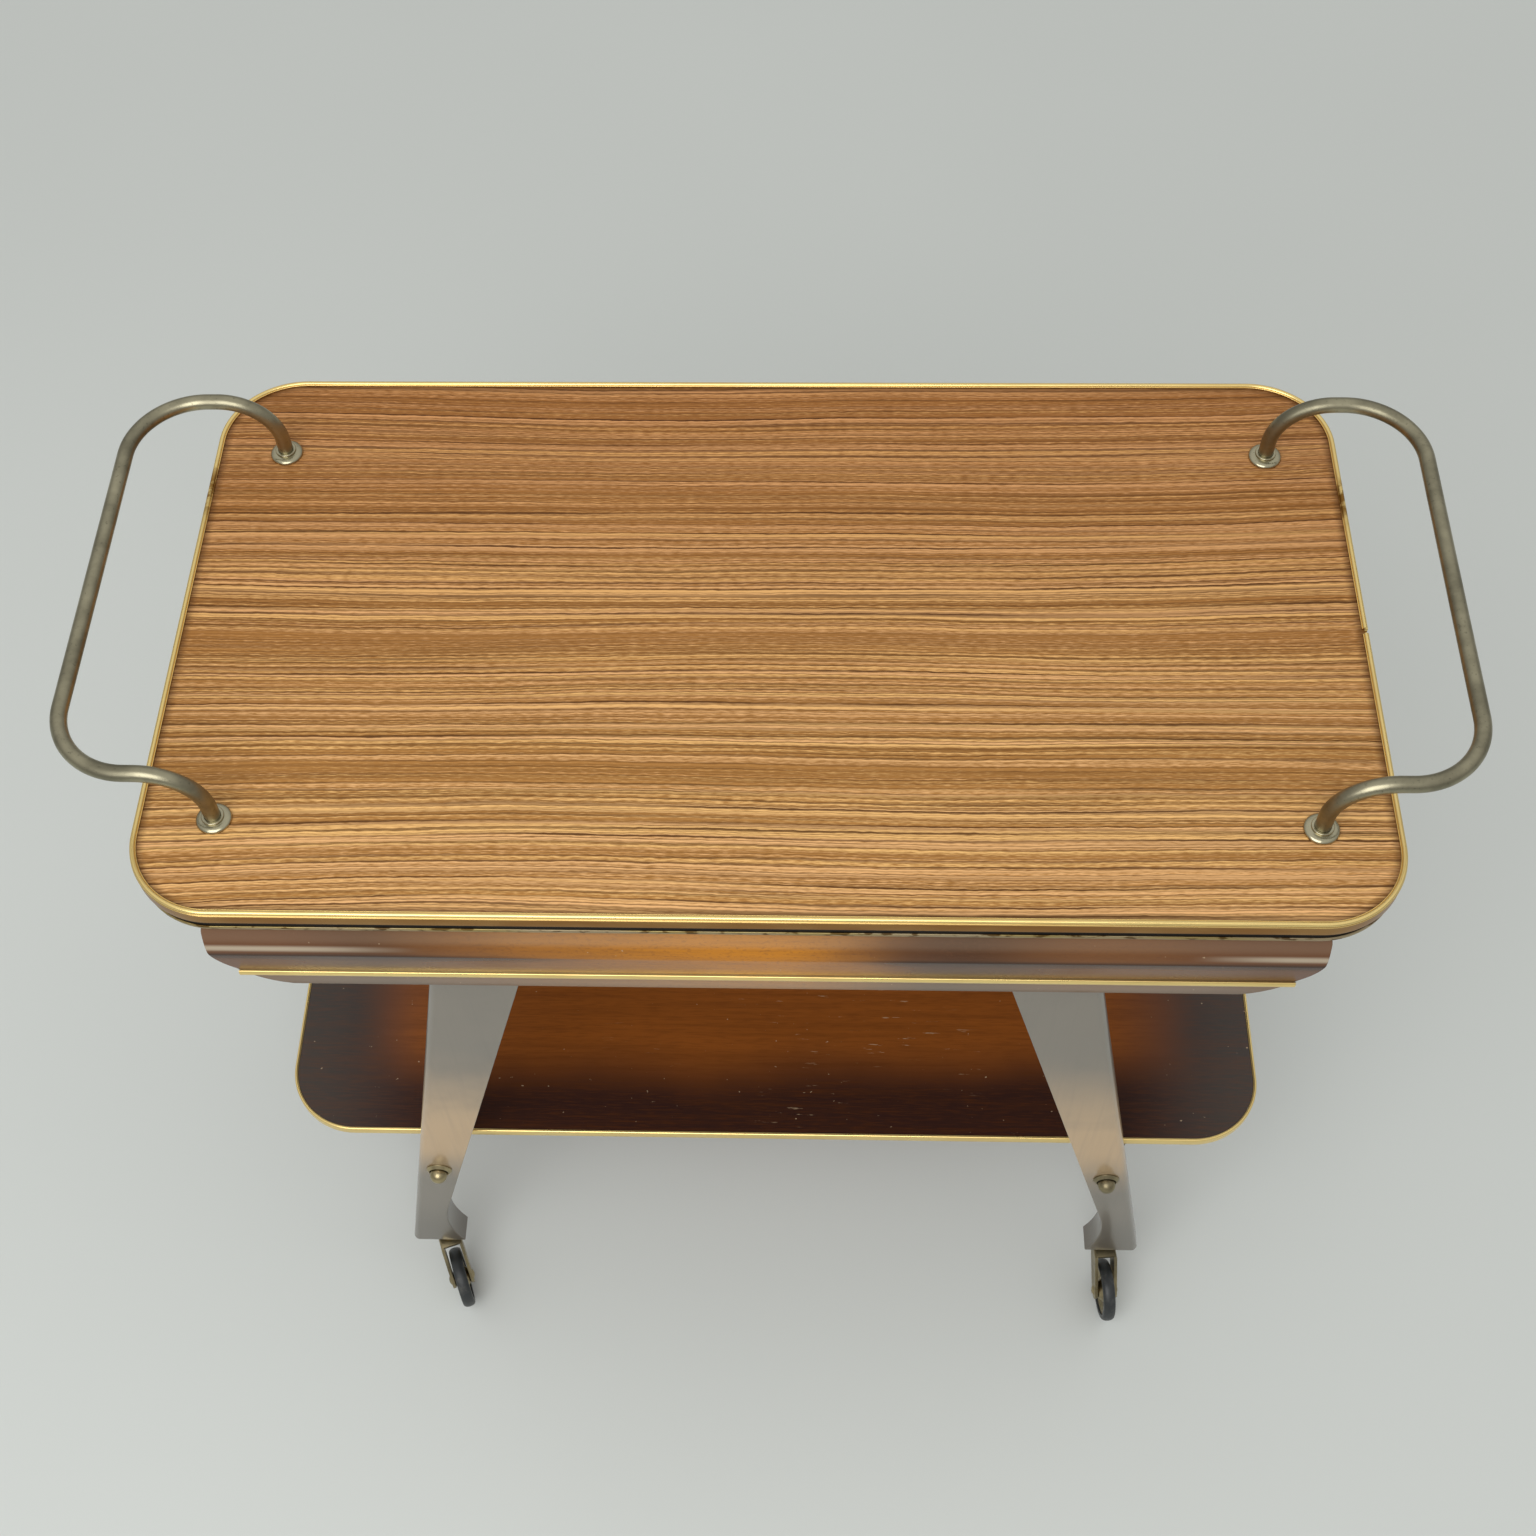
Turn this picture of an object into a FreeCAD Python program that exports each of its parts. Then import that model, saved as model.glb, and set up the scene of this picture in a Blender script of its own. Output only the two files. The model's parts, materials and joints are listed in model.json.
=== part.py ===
import FreeCAD, Part
import math
import os

from FreeCAD import Vector

# Bar cart: a laminated top with push handles, splayed board legs, a lower shelf and swivel casters.
# X runs along the cart, Y from front to back and Z up. The origin is on the floor under the middle.
# Lengths are in millimetres and angles in degrees.

# Top board, laminate and edging
TOP_LENGTH = 750.0
TOP_WIDTH = 420.0
TOP_HEIGHT = 640.0
TOP_CORNER_RADIUS = 54.0
BOARD_THICKNESS = 18.0
LAMINATE_THICKNESS = 1.0
TRIM_FACE = 2.5
TRIM_LIP_OVERLAP = 1.5
TRIM_LIP_HEIGHT = 2.4
TRIM_LIP_SHOULDER = 1.7
TRIM_LIP_SHOULDER_WIDTH = 3.5
TRIM_BEAD = 0.5
TRIM_JOINT = 4.0
SHADOW_GAP = 7.0
STRIP_HEIGHT = 3.0
STRIP_FACE = 1.0
STRIP_SHOULDER = 0.4
STRIP_JOINT = 0.6
TONGUE_THICKNESS = 1.2
TONGUE_DEPTH = 6.0
TONGUE_FIT = 0.1
EDGE_FIT = 0.05

# Push handles, bent from one rod each, with a turned-down stud at both ends
ROD_DIAMETER = 10.0
STUD_DIAMETER = 6.0
STUD_FIT = 0.2
HANDLE_END_INSET = 48.0
HANDLE_SIDE_INSET = 65.5
RISER_LENGTH = 15.0
RISER_BEND = 35.0
ARM_LENGTH = 6.0
GRIP_BEND = 46.0
ROSETTE_DIAMETER = 21.5
ROSETTE_RIM = 0.9
ROSETTE_COLLAR_DIAMETER = 13.6
ROSETTE_HEIGHT = 5.2
ROSETTE_DOME_HEIGHT = 3.2
ROSETTE_DOME_BULGE = 0.7
ROSETTE_FIT = 0.15
WASHER_DIAMETER = 16.0
WASHER_THICKNESS = 1.5
NUT_ACROSS_FLATS = 10.0
NUT_HEIGHT = 5.0
STUD_END = 2.0

# Aprons under the long edges of the top
APRON_END_INSET = 43.5
APRON_HEIGHT = 74.0
APRON_THICKNESS = 10.0
APRON_NOSE = 4.6
APRON_NOSE_RADIUS = 47.0
APRON_NOSE_RISE = 46.0
APRON_BAND_HEIGHT = 20.0
APRON_SET_IN = 14.0
APRON_END_RADIUS = 50.0
APRON_TOP_RADIUS = 9.0
APRON_STRIP_RISE = 13.0
APRON_STRIP_HEIGHT = 5.0
APRON_STRIP_PROUD = 1.6
APRON_STRIP_SHOULDER = 0.6

# Legs: boards that taper to an ankle, then flare to a toe
LEG_THICKNESS = 20.0
LEG_FOOT_INSET = 79.0
LEG_FOOT_WIDTH = 43.0
LEG_ANKLE_WIDTH = 26.0
LEG_ANKLE_RISE = 72.0
LEG_OUTER_SPLAY = 10.43
LEG_INNER_SPLAY = 14.68
LEG_OUTER_ROUND = 5.0

# Bearers under the top and under the shelf
TOP_BEARER_WIDTH = 30.0
TOP_BEARER_HEIGHT = 36.0
SHELF_BEARER_WIDTH = 26.0
SHELF_BEARER_HEIGHT = 40.0

# Lower shelf
SHELF_HEIGHT = 244.0
SHELF_THICKNESS = 6.0
SHELF_END_INSET = 9.0
SHELF_CORNER_RADIUS = 52.0
SHELF_TRIM_FACE = 2.5
SHELF_LIP_HEIGHT = 1.2
SHELF_TRIM_JOINT = 0.6

# Ball-headed bolts with dished washers, through the legs into the shelf bearers
BOLT_DIAMETER = 6.0
BOLT_REACH = 30.0
BOLT_FIT = 0.1
BALL_RADIUS = 6.6
BALL_SEAT_RADIUS = 5.7
DISH_DIAMETER = 19.5
DISH_RIM = 1.2
DISH_CREST = 1.8
DISH_CLEARANCE = 0.6

# Wood screws
SCREW_DIAMETER = 4.0
SCREW_HEAD_DIAMETER = 8.0
SCREW_HEAD_HEIGHT = 2.2
SCREW_BITE = 8.0
SHELF_SCREW_BITE = 4.0
SCREW_GRIP = 16.0
SCREW_FIT = 0.1
LEG_SCREW_PITCH = 16.0
APRON_SCREW_OFFSET = 22.0
BEARER_SCREW_SPACING = 220.0

# Casters
WHEEL_DIAMETER = 50.0
TYRE_WIDTH = 9.6
TYRE_THICKNESS = 5.4
TYRE_ROUND = 2.6
TYRE_FIT = 0.05
HUB_RIM_WIDTH = 7.0
HUB_RIM_DEPTH = 3.0
HUB_WEB_WIDTH = 3.0
HUB_BOSS_DIAMETER = 12.0
AXLE_DIAMETER = 5.0
AXLE_HEAD_DIAMETER = 8.6
AXLE_HEAD_HEIGHT = 1.8
RUNNING_FIT = 0.05
SIDE_PLAY = 0.2
CHEEK_GAP = 13.2
CHEEK_THICKNESS = 2.4
CHEEK_END_RADIUS = 7.0
FORK_TRAIL = 30.0
FORK_BACK = 11.0
FORK_FRONT = 14.0
BRIDGE_THICKNESS = 2.5
BRIDGE_CLEARANCE = 5.5
BRIDGE_ROUND = 2.0
COLLAR_DIAMETER = 14.0
COLLAR_HEIGHT = 3.4
THRUST_PLAY = 0.1
STEM_DIAMETER = 8.0
STEM_LENGTH = 32.0
SOCKET_DIAMETER = 11.0
SOCKET_LENGTH = 34.0
SOCKET_FIT = 0.1
FLANGE_DIAMETER = 18.0
FLANGE_THICKNESS = 1.5
RING_THICKNESS = 1.6
RING_WIDTH = 1.1
RING_GAP = 1.5
RING_FROM_STEM_END = 6.0
RING_GROOVE_DEPTH = 0.8
RING_PLAY = 0.2
CASTER_INSET = 26.0
FRONT_LEFT_HEADING = 20.0
FRONT_RIGHT_HEADING = 5.0

ACROSS = Vector(1, 0, 0)
BACK = Vector(0, 1, 0)
UP = Vector(0, 0, 1)
CENTRE = Vector(0, 0, 0)

# Places that follow from the driving dimensions
board_half_length = TOP_LENGTH / 2 - TRIM_FACE - EDGE_FIT
board_half_width = TOP_WIDTH / 2 - TRIM_FACE - EDGE_FIT
board_corner = TOP_CORNER_RADIUS - TRIM_FACE - EDGE_FIT
board_top = TOP_HEIGHT - LAMINATE_THICKNESS
underside = board_top - BOARD_THICKNESS
strip_top = underside + STRIP_HEIGHT
trim_low = strip_top + SHADOW_GAP

handle_x = TOP_LENGTH / 2 - HANDLE_END_INSET
handle_y = TOP_WIDTH / 2 - HANDLE_SIDE_INSET
grip_z = TOP_HEIGHT + RISER_LENGTH + RISER_BEND

apron_low = underside - APRON_HEIGHT
apron_back = TOP_WIDTH / 2 - APRON_SET_IN
apron_face = apron_back + APRON_THICKNESS
apron_half_length = TOP_LENGTH / 2 - APRON_END_INSET
apron_strip_low = apron_low + APRON_STRIP_RISE
apron_crest = apron_low + APRON_NOSE_RISE

wheel_radius = WHEEL_DIAMETER / 2
bridge_low = WHEEL_DIAMETER + BRIDGE_CLEARANCE
bridge_top = bridge_low + BRIDGE_THICKNESS
flange_low = bridge_top + COLLAR_HEIGHT + THRUST_PLAY
foot_low = flange_low + FLANGE_THICKNESS

leg_front = apron_back
leg_back = leg_front - LEG_THICKNESS
foot_x = TOP_LENGTH / 2 - LEG_FOOT_INSET
ankle_z = foot_low + LEG_ANKLE_RISE
outer_slope = math.tan(math.radians(LEG_OUTER_SPLAY))
inner_slope = math.tan(math.radians(LEG_INNER_SPLAY))

shelf_low = SHELF_HEIGHT - SHELF_THICKNESS
shelf_half_length = TOP_LENGTH / 2 - SHELF_END_INSET - SHELF_TRIM_FACE - EDGE_FIT
shelf_half_width = leg_back - SHELF_TRIM_FACE - EDGE_FIT
shelf_corner = SHELF_CORNER_RADIUS - SHELF_TRIM_FACE - EDGE_FIT

caster_x = foot_x - CASTER_INSET
caster_y = (leg_front + leg_back) / 2


def leg_outer(z):
    """Half distance between the legs' outer edges at a height."""
    return foot_x - (z - foot_low) * outer_slope


def leg_inner(z):
    """The inner edge, which keeps the ankle's width at the ankle and splays more than the outer edge."""
    return leg_outer(ankle_z) - LEG_ANKLE_WIDTH - (z - ankle_z) * inner_slope


def leg_middle(z):
    return (leg_outer(z) + leg_inner(z)) / 2


top_bearer_z = underside - TOP_BEARER_HEIGHT / 2
top_bearer_x = leg_middle(top_bearer_z)
shelf_bearer_z = shelf_low - SHELF_BEARER_HEIGHT / 2
shelf_bearer_x = leg_middle(shelf_bearer_z)


# Shape helpers

def wire_through(steps, place):
    """Wire from the first 2-D point; a step is the next point, or an arc's middle and end points."""
    edges = []
    here = place(*steps[0])
    for step in steps[1:]:
        if isinstance(step[0], tuple):
            middle, end = [place(*point) for point in step]
            edges.append(Part.Arc(here, middle, end).toShape())
        else:
            end = place(*step)
            edges.append(Part.LineSegment(here, end).toShape())
        here = end
    return Part.Wire(edges)


def face_of(steps, place):
    return Part.Face(wire_through(steps, place))


def prism(steps, place, along):
    return face_of(steps, place).extrude(along)


def turned(steps, centre, axis):
    """Solid of revolution from a profile of (radius, distance along the axis)."""
    def place(radius, along):
        return centre + ACROSS * radius + axis * along
    return face_of(steps, place).revolve(centre, axis, 360)


def rod(radius, start, end):
    return Part.makeCylinder(radius, start.distanceToPoint(end), start, end - start)


def block(low, high):
    return Part.makeBox(high.x - low.x, high.y - low.y, high.z - low.z, low)


def plate_steps(half_length, half_width, radius):
    """Rectangle with round corners, from the middle of its right end and back to it."""
    x = half_length - radius
    y = half_width - radius
    diagonal = radius * math.sqrt(0.5)
    return [
        (half_length, 0),
        (half_length, y),
        ((x + diagonal, y + diagonal), (x, half_width)),
        (-x, half_width),
        ((-x - diagonal, y + diagonal), (-half_length, y)),
        (-half_length, -y),
        ((-x - diagonal, -y - diagonal), (-x, -half_width)),
        (x, -half_width),
        ((x + diagonal, -y - diagonal), (half_length, -y)),
        (half_length, 0),
    ]


def plate(half_length, half_width, radius, low, high):
    def place(x, y):
        return Vector(x, y, low)
    return prism(plate_steps(half_length, half_width, radius), place, UP * (high - low))


def edging(section, half_length, half_width, radius, joint):
    """Section of (outward, height) points carried round a plate's edge, with its joint on the right end."""
    steps = plate_steps(half_length, half_width, radius)
    steps[0] = (half_length, joint / 2)
    steps[-1] = (half_length, -joint / 2)
    path = wire_through(steps, lambda x, y: Vector(x, y, 0))
    profile = wire_through(section, lambda out, z: Vector(half_length + out, joint / 2, z))
    return path.makePipeShell([profile], True, False)


def edge_groove(half_length, half_width, radius, tongue_z):
    """Slot all round a plate's edge for an edging's tongue."""
    depth = TONGUE_DEPTH + TONGUE_FIT
    low = tongue_z - TONGUE_THICKNESS / 2 - TONGUE_FIT
    high = tongue_z + TONGUE_THICKNESS / 2 + TONGUE_FIT
    outside = plate(half_length + depth, half_width + depth, radius + depth, low, high)
    return outside.cut(plate(half_length - depth, half_width - depth, radius - depth, low, high))


def screw_shape(head, direction, length, fit=0.0, sink=0.0):
    """Countersunk screw with its head's face at a point; with a fit and a sink it is the hole for one."""
    head_radius = SCREW_HEAD_DIAMETER / 2 + fit
    radius = SCREW_DIAMETER / 2 + fit
    shank = rod(radius, head, head + direction * (length + fit))
    cone = Part.makeCone(head_radius, radius, SCREW_HEAD_HEIGHT, head, direction)
    shape = shank.fuse(cone)
    if sink > 0:
        shape = shape.fuse(rod(head_radius, head - direction * sink, head))
    return shape


def mirrored(shape, side_x, side_y):
    """Copy of a right-hand rear shape for one corner of the cart."""
    if side_x < 0:
        shape = shape.mirror(CENTRE, ACROSS)
    if side_y < 0:
        shape = shape.mirror(CENTRE, BACK)
    return shape


def at_corners(shape):
    return [mirrored(shape, side_x, side_y) for side_x in (-1, 1) for side_y in (-1, 1)]


# Top

trim_tongue_z = (trim_low + TOP_HEIGHT) / 2
strip_tongue_z = (underside + strip_top) / 2
stud_hole_radius = STUD_DIAMETER / 2 + STUD_FIT


def top_trim():
    """Edge profile with a rounded raised lip, two beads on its face and a tongue in the board's edge."""
    lip_top = TOP_HEIGHT + TRIM_LIP_HEIGHT
    lip_middle = (TRIM_FACE - TRIM_LIP_OVERLAP) / 2
    lip_half = TRIM_LIP_SHOULDER_WIDTH / 2
    lip_shoulder = TOP_HEIGHT + TRIM_LIP_SHOULDER
    tongue_low = trim_tongue_z - TONGUE_THICKNESS / 2
    tongue_high = trim_tongue_z + TONGUE_THICKNESS / 2
    groove = TRIM_FACE - TRIM_BEAD
    section = [
        (-TRIM_LIP_OVERLAP, TOP_HEIGHT),
        (EDGE_FIT, TOP_HEIGHT),
        (EDGE_FIT, tongue_high),
        (-TONGUE_DEPTH, tongue_high),
        (-TONGUE_DEPTH, tongue_low),
        (EDGE_FIT, tongue_low),
        (EDGE_FIT, trim_low),
        (groove, trim_low),
        ((TRIM_FACE, (trim_low + tongue_low) / 2), (groove, tongue_low)),
        (groove, tongue_high),
        (TRIM_FACE, TOP_HEIGHT),
        ((lip_middle + lip_half, lip_shoulder), (lip_middle, lip_top)),
        ((lip_middle - lip_half, lip_shoulder), (-TRIM_LIP_OVERLAP, TOP_HEIGHT)),
    ]
    return edging(section, board_half_length, board_half_width, board_corner, TRIM_JOINT)


def top_strip():
    """Slim rounded strip along the lower arris of the board, with its own tongue."""
    tongue_low = strip_tongue_z - TONGUE_THICKNESS / 2
    tongue_high = strip_tongue_z + TONGUE_THICKNESS / 2
    section = [
        (EDGE_FIT, underside),
        (STRIP_SHOULDER, underside),
        ((STRIP_FACE, strip_tongue_z), (STRIP_SHOULDER, strip_top)),
        (EDGE_FIT, strip_top),
        (EDGE_FIT, tongue_high),
        (-TONGUE_DEPTH, tongue_high),
        (-TONGUE_DEPTH, tongue_low),
        (EDGE_FIT, tongue_low),
        (EDGE_FIT, underside),
    ]
    return edging(section, board_half_length, board_half_width, board_corner, STRIP_JOINT)


def handle_hole(low, high):
    return rod(stud_hole_radius, Vector(handle_x, handle_y, low), Vector(handle_x, handle_y, high))


def top_board():
    board = plate(board_half_length, board_half_width, board_corner, underside, board_top)
    for tongue_z in (trim_tongue_z, strip_tongue_z):
        board = board.cut(edge_groove(board_half_length, board_half_width, board_corner, tongue_z))
    board = board.cut(at_corners(handle_hole(underside, board_top)))
    return board.cut(screw_holes(top_screws()))


def top_laminate():
    sheet = plate(board_half_length, board_half_width, board_corner, board_top, TOP_HEIGHT)
    return sheet.cut(at_corners(handle_hole(board_top, TOP_HEIGHT)))


# Handles

def handle():
    """Right-hand handle: riser, bend over the end, bend along the end, and back the same way."""
    riser_top = TOP_HEIGHT + RISER_LENGTH
    bend_cut = math.sqrt(0.5)
    arm_start = handle_x + RISER_BEND
    arm_end = arm_start + ARM_LENGTH
    grip_y = handle_y - GRIP_BEND

    def up_point(turn_x, turn_z, y):
        return Vector(handle_x + RISER_BEND * turn_x, y, riser_top + RISER_BEND * turn_z)

    def grip_point(turn_x, turn_y, side):
        return Vector(arm_end + GRIP_BEND * turn_x, side * (grip_y + GRIP_BEND * turn_y), grip_z)

    edges = []
    for side in (1, -1):
        y = side * handle_y
        riser = Part.LineSegment(Vector(handle_x, y, TOP_HEIGHT), Vector(handle_x, y, riser_top)).toShape()
        bend = Part.Arc(up_point(0, 0, y), up_point(1 - bend_cut, bend_cut, y), up_point(1, 1, y)).toShape()
        arm = Part.LineSegment(Vector(arm_start, y, grip_z), Vector(arm_end, y, grip_z)).toShape()
        turn = Part.Arc(grip_point(0, 1, side), grip_point(bend_cut, bend_cut, side), grip_point(1, 0, side))
        edges += [riser, bend, arm, turn.toShape()]
    edges.append(Part.LineSegment(grip_point(1, 0, 1), grip_point(1, 0, -1)).toShape())
    path = Part.Wire(Part.__sortEdges__(edges))
    start = path.OrderedVertexes[0].Point
    section = Part.Wire(Part.Circle(start, UP, ROD_DIAMETER / 2).toShape())
    shape = path.makePipeShell([section], True, False)
    stud_low = underside - WASHER_THICKNESS - NUT_HEIGHT - STUD_END
    for y in (handle_y, -handle_y):
        stud = rod(STUD_DIAMETER / 2, Vector(handle_x, y, stud_low), Vector(handle_x, y, TOP_HEIGHT))
        shape = shape.fuse(stud)
    return shape


def rosette():
    """Domed ring with a short collar round the handle's rod."""
    bore = ROD_DIAMETER / 2 + ROSETTE_FIT
    outer = ROSETTE_DIAMETER / 2
    collar = ROSETTE_COLLAR_DIAMETER / 2
    dome_x = (outer + collar) / 2
    dome_z = (ROSETTE_RIM + ROSETTE_DOME_HEIGHT) / 2 + ROSETTE_DOME_BULGE
    steps = [
        (bore, 0),
        (outer, 0),
        (outer, ROSETTE_RIM),
        ((dome_x, dome_z), (collar, ROSETTE_DOME_HEIGHT)),
        (collar, ROSETTE_HEIGHT),
        (bore, ROSETTE_HEIGHT),
        (bore, 0),
    ]
    return turned(steps, Vector(handle_x, handle_y, TOP_HEIGHT), UP)


def handle_washers():
    high = Vector(handle_x, handle_y, underside)
    low = high - UP * WASHER_THICKNESS
    washer = rod(WASHER_DIAMETER / 2, low, high).cut(rod(stud_hole_radius, low, high))
    return Part.makeCompound(at_corners(washer))


def handle_nuts():
    low = underside - WASHER_THICKNESS - NUT_HEIGHT
    corner = NUT_ACROSS_FLATS / math.sqrt(3)
    angles = [math.radians(60 * side) for side in range(7)]
    steps = [(handle_x + corner * math.cos(angle), handle_y + corner * math.sin(angle)) for angle in angles]
    nut = prism(steps, lambda x, y: Vector(x, y, low), UP * NUT_HEIGHT)
    return Part.makeCompound(at_corners(nut.cut(handle_hole(low, low + NUT_HEIGHT))))


# Aprons, made for the rear and mirrored to the front

def nose_reach(z):
    """Distance of the apron's round nose from the middle of the cart, at a height."""
    above = z - apron_crest
    sunk = APRON_NOSE_RADIUS - math.sqrt(APRON_NOSE_RADIUS ** 2 - above ** 2)
    return apron_face + APRON_NOSE - sunk


def apron():
    """Board with a round nose that slopes in to a flat band, its ends swept in towards the bottom."""
    middle = (apron_crest + underside) / 2
    section = [
        (apron_back, apron_low),
        (apron_face, apron_low),
        (apron_face, apron_low + APRON_BAND_HEIGHT),
        (apron_face + APRON_NOSE, apron_crest),
        ((nose_reach(middle), middle), (nose_reach(underside), underside)),
        (apron_back, underside),
        (apron_back, apron_low),
    ]
    length = 2 * apron_half_length
    body = prism(section, lambda y, z: Vector(-apron_half_length, y, z), Vector(length, 0, 0))
    half = apron_half_length
    swept_x = half - APRON_END_RADIUS
    swept_z = apron_low + APRON_END_RADIUS
    upper_x = half - APRON_TOP_RADIUS
    upper_z = underside - APRON_TOP_RADIUS
    swept = APRON_END_RADIUS * math.sqrt(0.5)
    upper = APRON_TOP_RADIUS * math.sqrt(0.5)
    outline = [
        (-swept_x, apron_low),
        (swept_x, apron_low),
        ((swept_x + swept, swept_z - swept), (half, swept_z)),
        (half, upper_z),
        ((upper_x + upper, upper_z + upper), (upper_x, underside)),
        (-upper_x, underside),
        ((-upper_x - upper, upper_z + upper), (-half, upper_z)),
        (-half, swept_z),
        ((-swept_x - swept, swept_z - swept), (-swept_x, apron_low)),
    ]
    reach = APRON_THICKNESS + APRON_NOSE
    blank = prism(outline, lambda x, z: Vector(x, apron_back, z), Vector(0, reach, 0))
    return body.common(blank).cut(screw_holes(apron_screws()))


def apron_strip():
    """Half-round strip across the apron's flat band, cut square where its top meets the swept ends."""
    drop = APRON_END_RADIUS - APRON_STRIP_RISE - APRON_STRIP_HEIGHT
    half = apron_half_length - APRON_END_RADIUS + math.sqrt(APRON_END_RADIUS ** 2 - drop ** 2)
    high = apron_strip_low + APRON_STRIP_HEIGHT
    middle = (apron_strip_low + high) / 2
    shoulder = apron_face + APRON_STRIP_SHOULDER
    section = [
        (apron_face, apron_strip_low),
        (shoulder, apron_strip_low),
        ((apron_face + APRON_STRIP_PROUD, middle), (shoulder, high)),
        (apron_face, high),
        (apron_face, apron_strip_low),
    ]
    return prism(section, lambda y, z: Vector(-half, y, z), Vector(2 * half, 0, 0))


# Screws, each a head point, a direction and a length, for the right-hand rear corner

def leg_screws():
    """Two through each leg's face into the end of the top bearer."""
    length = LEG_THICKNESS + SCREW_GRIP
    heights = [top_bearer_z + LEG_SCREW_PITCH * step for step in (-0.5, 0.5)]
    return [(Vector(top_bearer_x, leg_front, z), -BACK, length) for z in heights]


def apron_screws():
    """Two through each leg's back into the apron: one beside the bearer and one below it."""
    length = LEG_THICKNESS + SCREW_BITE
    low_z = apron_low + APRON_STRIP_RISE + APRON_STRIP_HEIGHT / 2
    beside = Vector(top_bearer_x - APRON_SCREW_OFFSET, leg_back, top_bearer_z)
    below = Vector(leg_middle(low_z), leg_back, low_z)
    return [(head, BACK, length) for head in (beside, below)]


def top_screws():
    """One each side of the middle, up through each top bearer into the board."""
    head = Vector(top_bearer_x, BEARER_SCREW_SPACING / 2, underside - SCREW_GRIP)
    return [(head, UP, SCREW_GRIP + SCREW_BITE)]


def shelf_screws():
    """The same through each shelf bearer, with a shorter bite in the thin shelf."""
    head = Vector(shelf_bearer_x, BEARER_SCREW_SPACING / 2, shelf_low - SCREW_GRIP)
    return [(head, UP, SCREW_GRIP + SHELF_SCREW_BITE)]


def screws(places):
    return Part.makeCompound([copy for place in places for copy in at_corners(screw_shape(*place))])


def screw_holes(places, sink=0.0):
    return [copy for place in places for copy in at_corners(screw_shape(*place, SCREW_FIT, sink))]


# Legs, made for the right-hand rear corner

def leg():
    """Tapered board with a rounded outer edge and a scoop above the toe, bored for its fasteners."""
    toe_x = foot_x - LEG_FOOT_WIDTH
    ankle_x = leg_inner(ankle_z)
    angle = math.radians(LEG_INNER_SPLAY)
    normal_x = -math.cos(angle)
    normal_z = -math.sin(angle)
    step_x = toe_x - ankle_x
    step_z = foot_low - ankle_z
    radius = (step_x ** 2 + step_z ** 2) / (2 * (step_x * normal_x + step_z * normal_z))
    scoop_x = ankle_x + radius * normal_x
    scoop_z = ankle_z + radius * normal_z
    reach_x = (ankle_x + toe_x) / 2 - scoop_x
    reach_z = (ankle_z + foot_low) / 2 - scoop_z
    stretch = radius / math.hypot(reach_x, reach_z)
    outline = [
        (toe_x, foot_low),
        (foot_x, foot_low),
        (leg_outer(underside), underside),
        (leg_inner(underside), underside),
        (ankle_x, ankle_z),
        ((scoop_x + reach_x * stretch, scoop_z + reach_z * stretch), (toe_x, foot_low)),
    ]
    shape = prism(outline, lambda x, z: Vector(x, leg_back, z), Vector(0, LEG_THICKNESS, 0))
    outer_edges = [edge for edge in shape.Edges if on_outer_side(edge)]
    shape = shape.makeFillet(LEG_OUTER_ROUND, outer_edges)
    socket = socket_axis(foot_low)
    bolt = bolt_axis(leg_front)
    holes = [
        rod(SOCKET_DIAMETER / 2 + SOCKET_FIT, socket, socket + UP * (SOCKET_LENGTH + SOCKET_FIT)),
        rod(BOLT_DIAMETER / 2 + BOLT_FIT, bolt, bolt_axis(leg_back)),
    ]
    own_screws = leg_screws() + apron_screws()
    holes += [screw_shape(*place, SCREW_FIT) for place in own_screws]
    return shape.cut(holes)


def on_outer_side(edge):
    """True for the long outer edges of the leg's front and back faces."""
    ends = [vertex.Point for vertex in edge.Vertexes]
    tall = abs(ends[0].z - ends[-1].z) > LEG_THICKNESS
    return tall and all(abs(point.x - leg_outer(point.z)) < EDGE_FIT for point in ends)


def socket_axis(z):
    return Vector(caster_x, caster_y, z)


def bolt_axis(y):
    return Vector(shelf_bearer_x, y, shelf_bearer_z)


# Bearers

def top_bearer():
    half = TOP_BEARER_WIDTH / 2
    low = Vector(top_bearer_x - half, -leg_back, underside - TOP_BEARER_HEIGHT)
    high = Vector(top_bearer_x + half, leg_back, underside)
    sink = TOP_BEARER_HEIGHT - SCREW_GRIP
    holes = screw_holes(top_screws(), sink) + screw_holes(leg_screws())
    return block(low, high).cut(holes)


def shelf_bearer():
    half = SHELF_BEARER_WIDTH / 2
    low = Vector(shelf_bearer_x - half, -leg_back, shelf_low - SHELF_BEARER_HEIGHT)
    high = Vector(shelf_bearer_x + half, leg_back, shelf_low)
    sink = SHELF_BEARER_HEIGHT - SCREW_GRIP
    holes = screw_holes(shelf_screws(), sink)
    end = bolt_axis(leg_back - BOLT_REACH - BOLT_FIT)
    holes += at_corners(rod(BOLT_DIAMETER / 2 + BOLT_FIT, bolt_axis(leg_back), end))
    return block(low, high).cut(holes)


# Lower shelf

shelf_tongue_z = (shelf_low + SHELF_HEIGHT) / 2


def lower_shelf():
    shelf = plate(shelf_half_length, shelf_half_width, shelf_corner, shelf_low, SHELF_HEIGHT)
    shelf = shelf.cut(edge_groove(shelf_half_length, shelf_half_width, shelf_corner, shelf_tongue_z))
    return shelf.cut(screw_holes(shelf_screws()))


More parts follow.
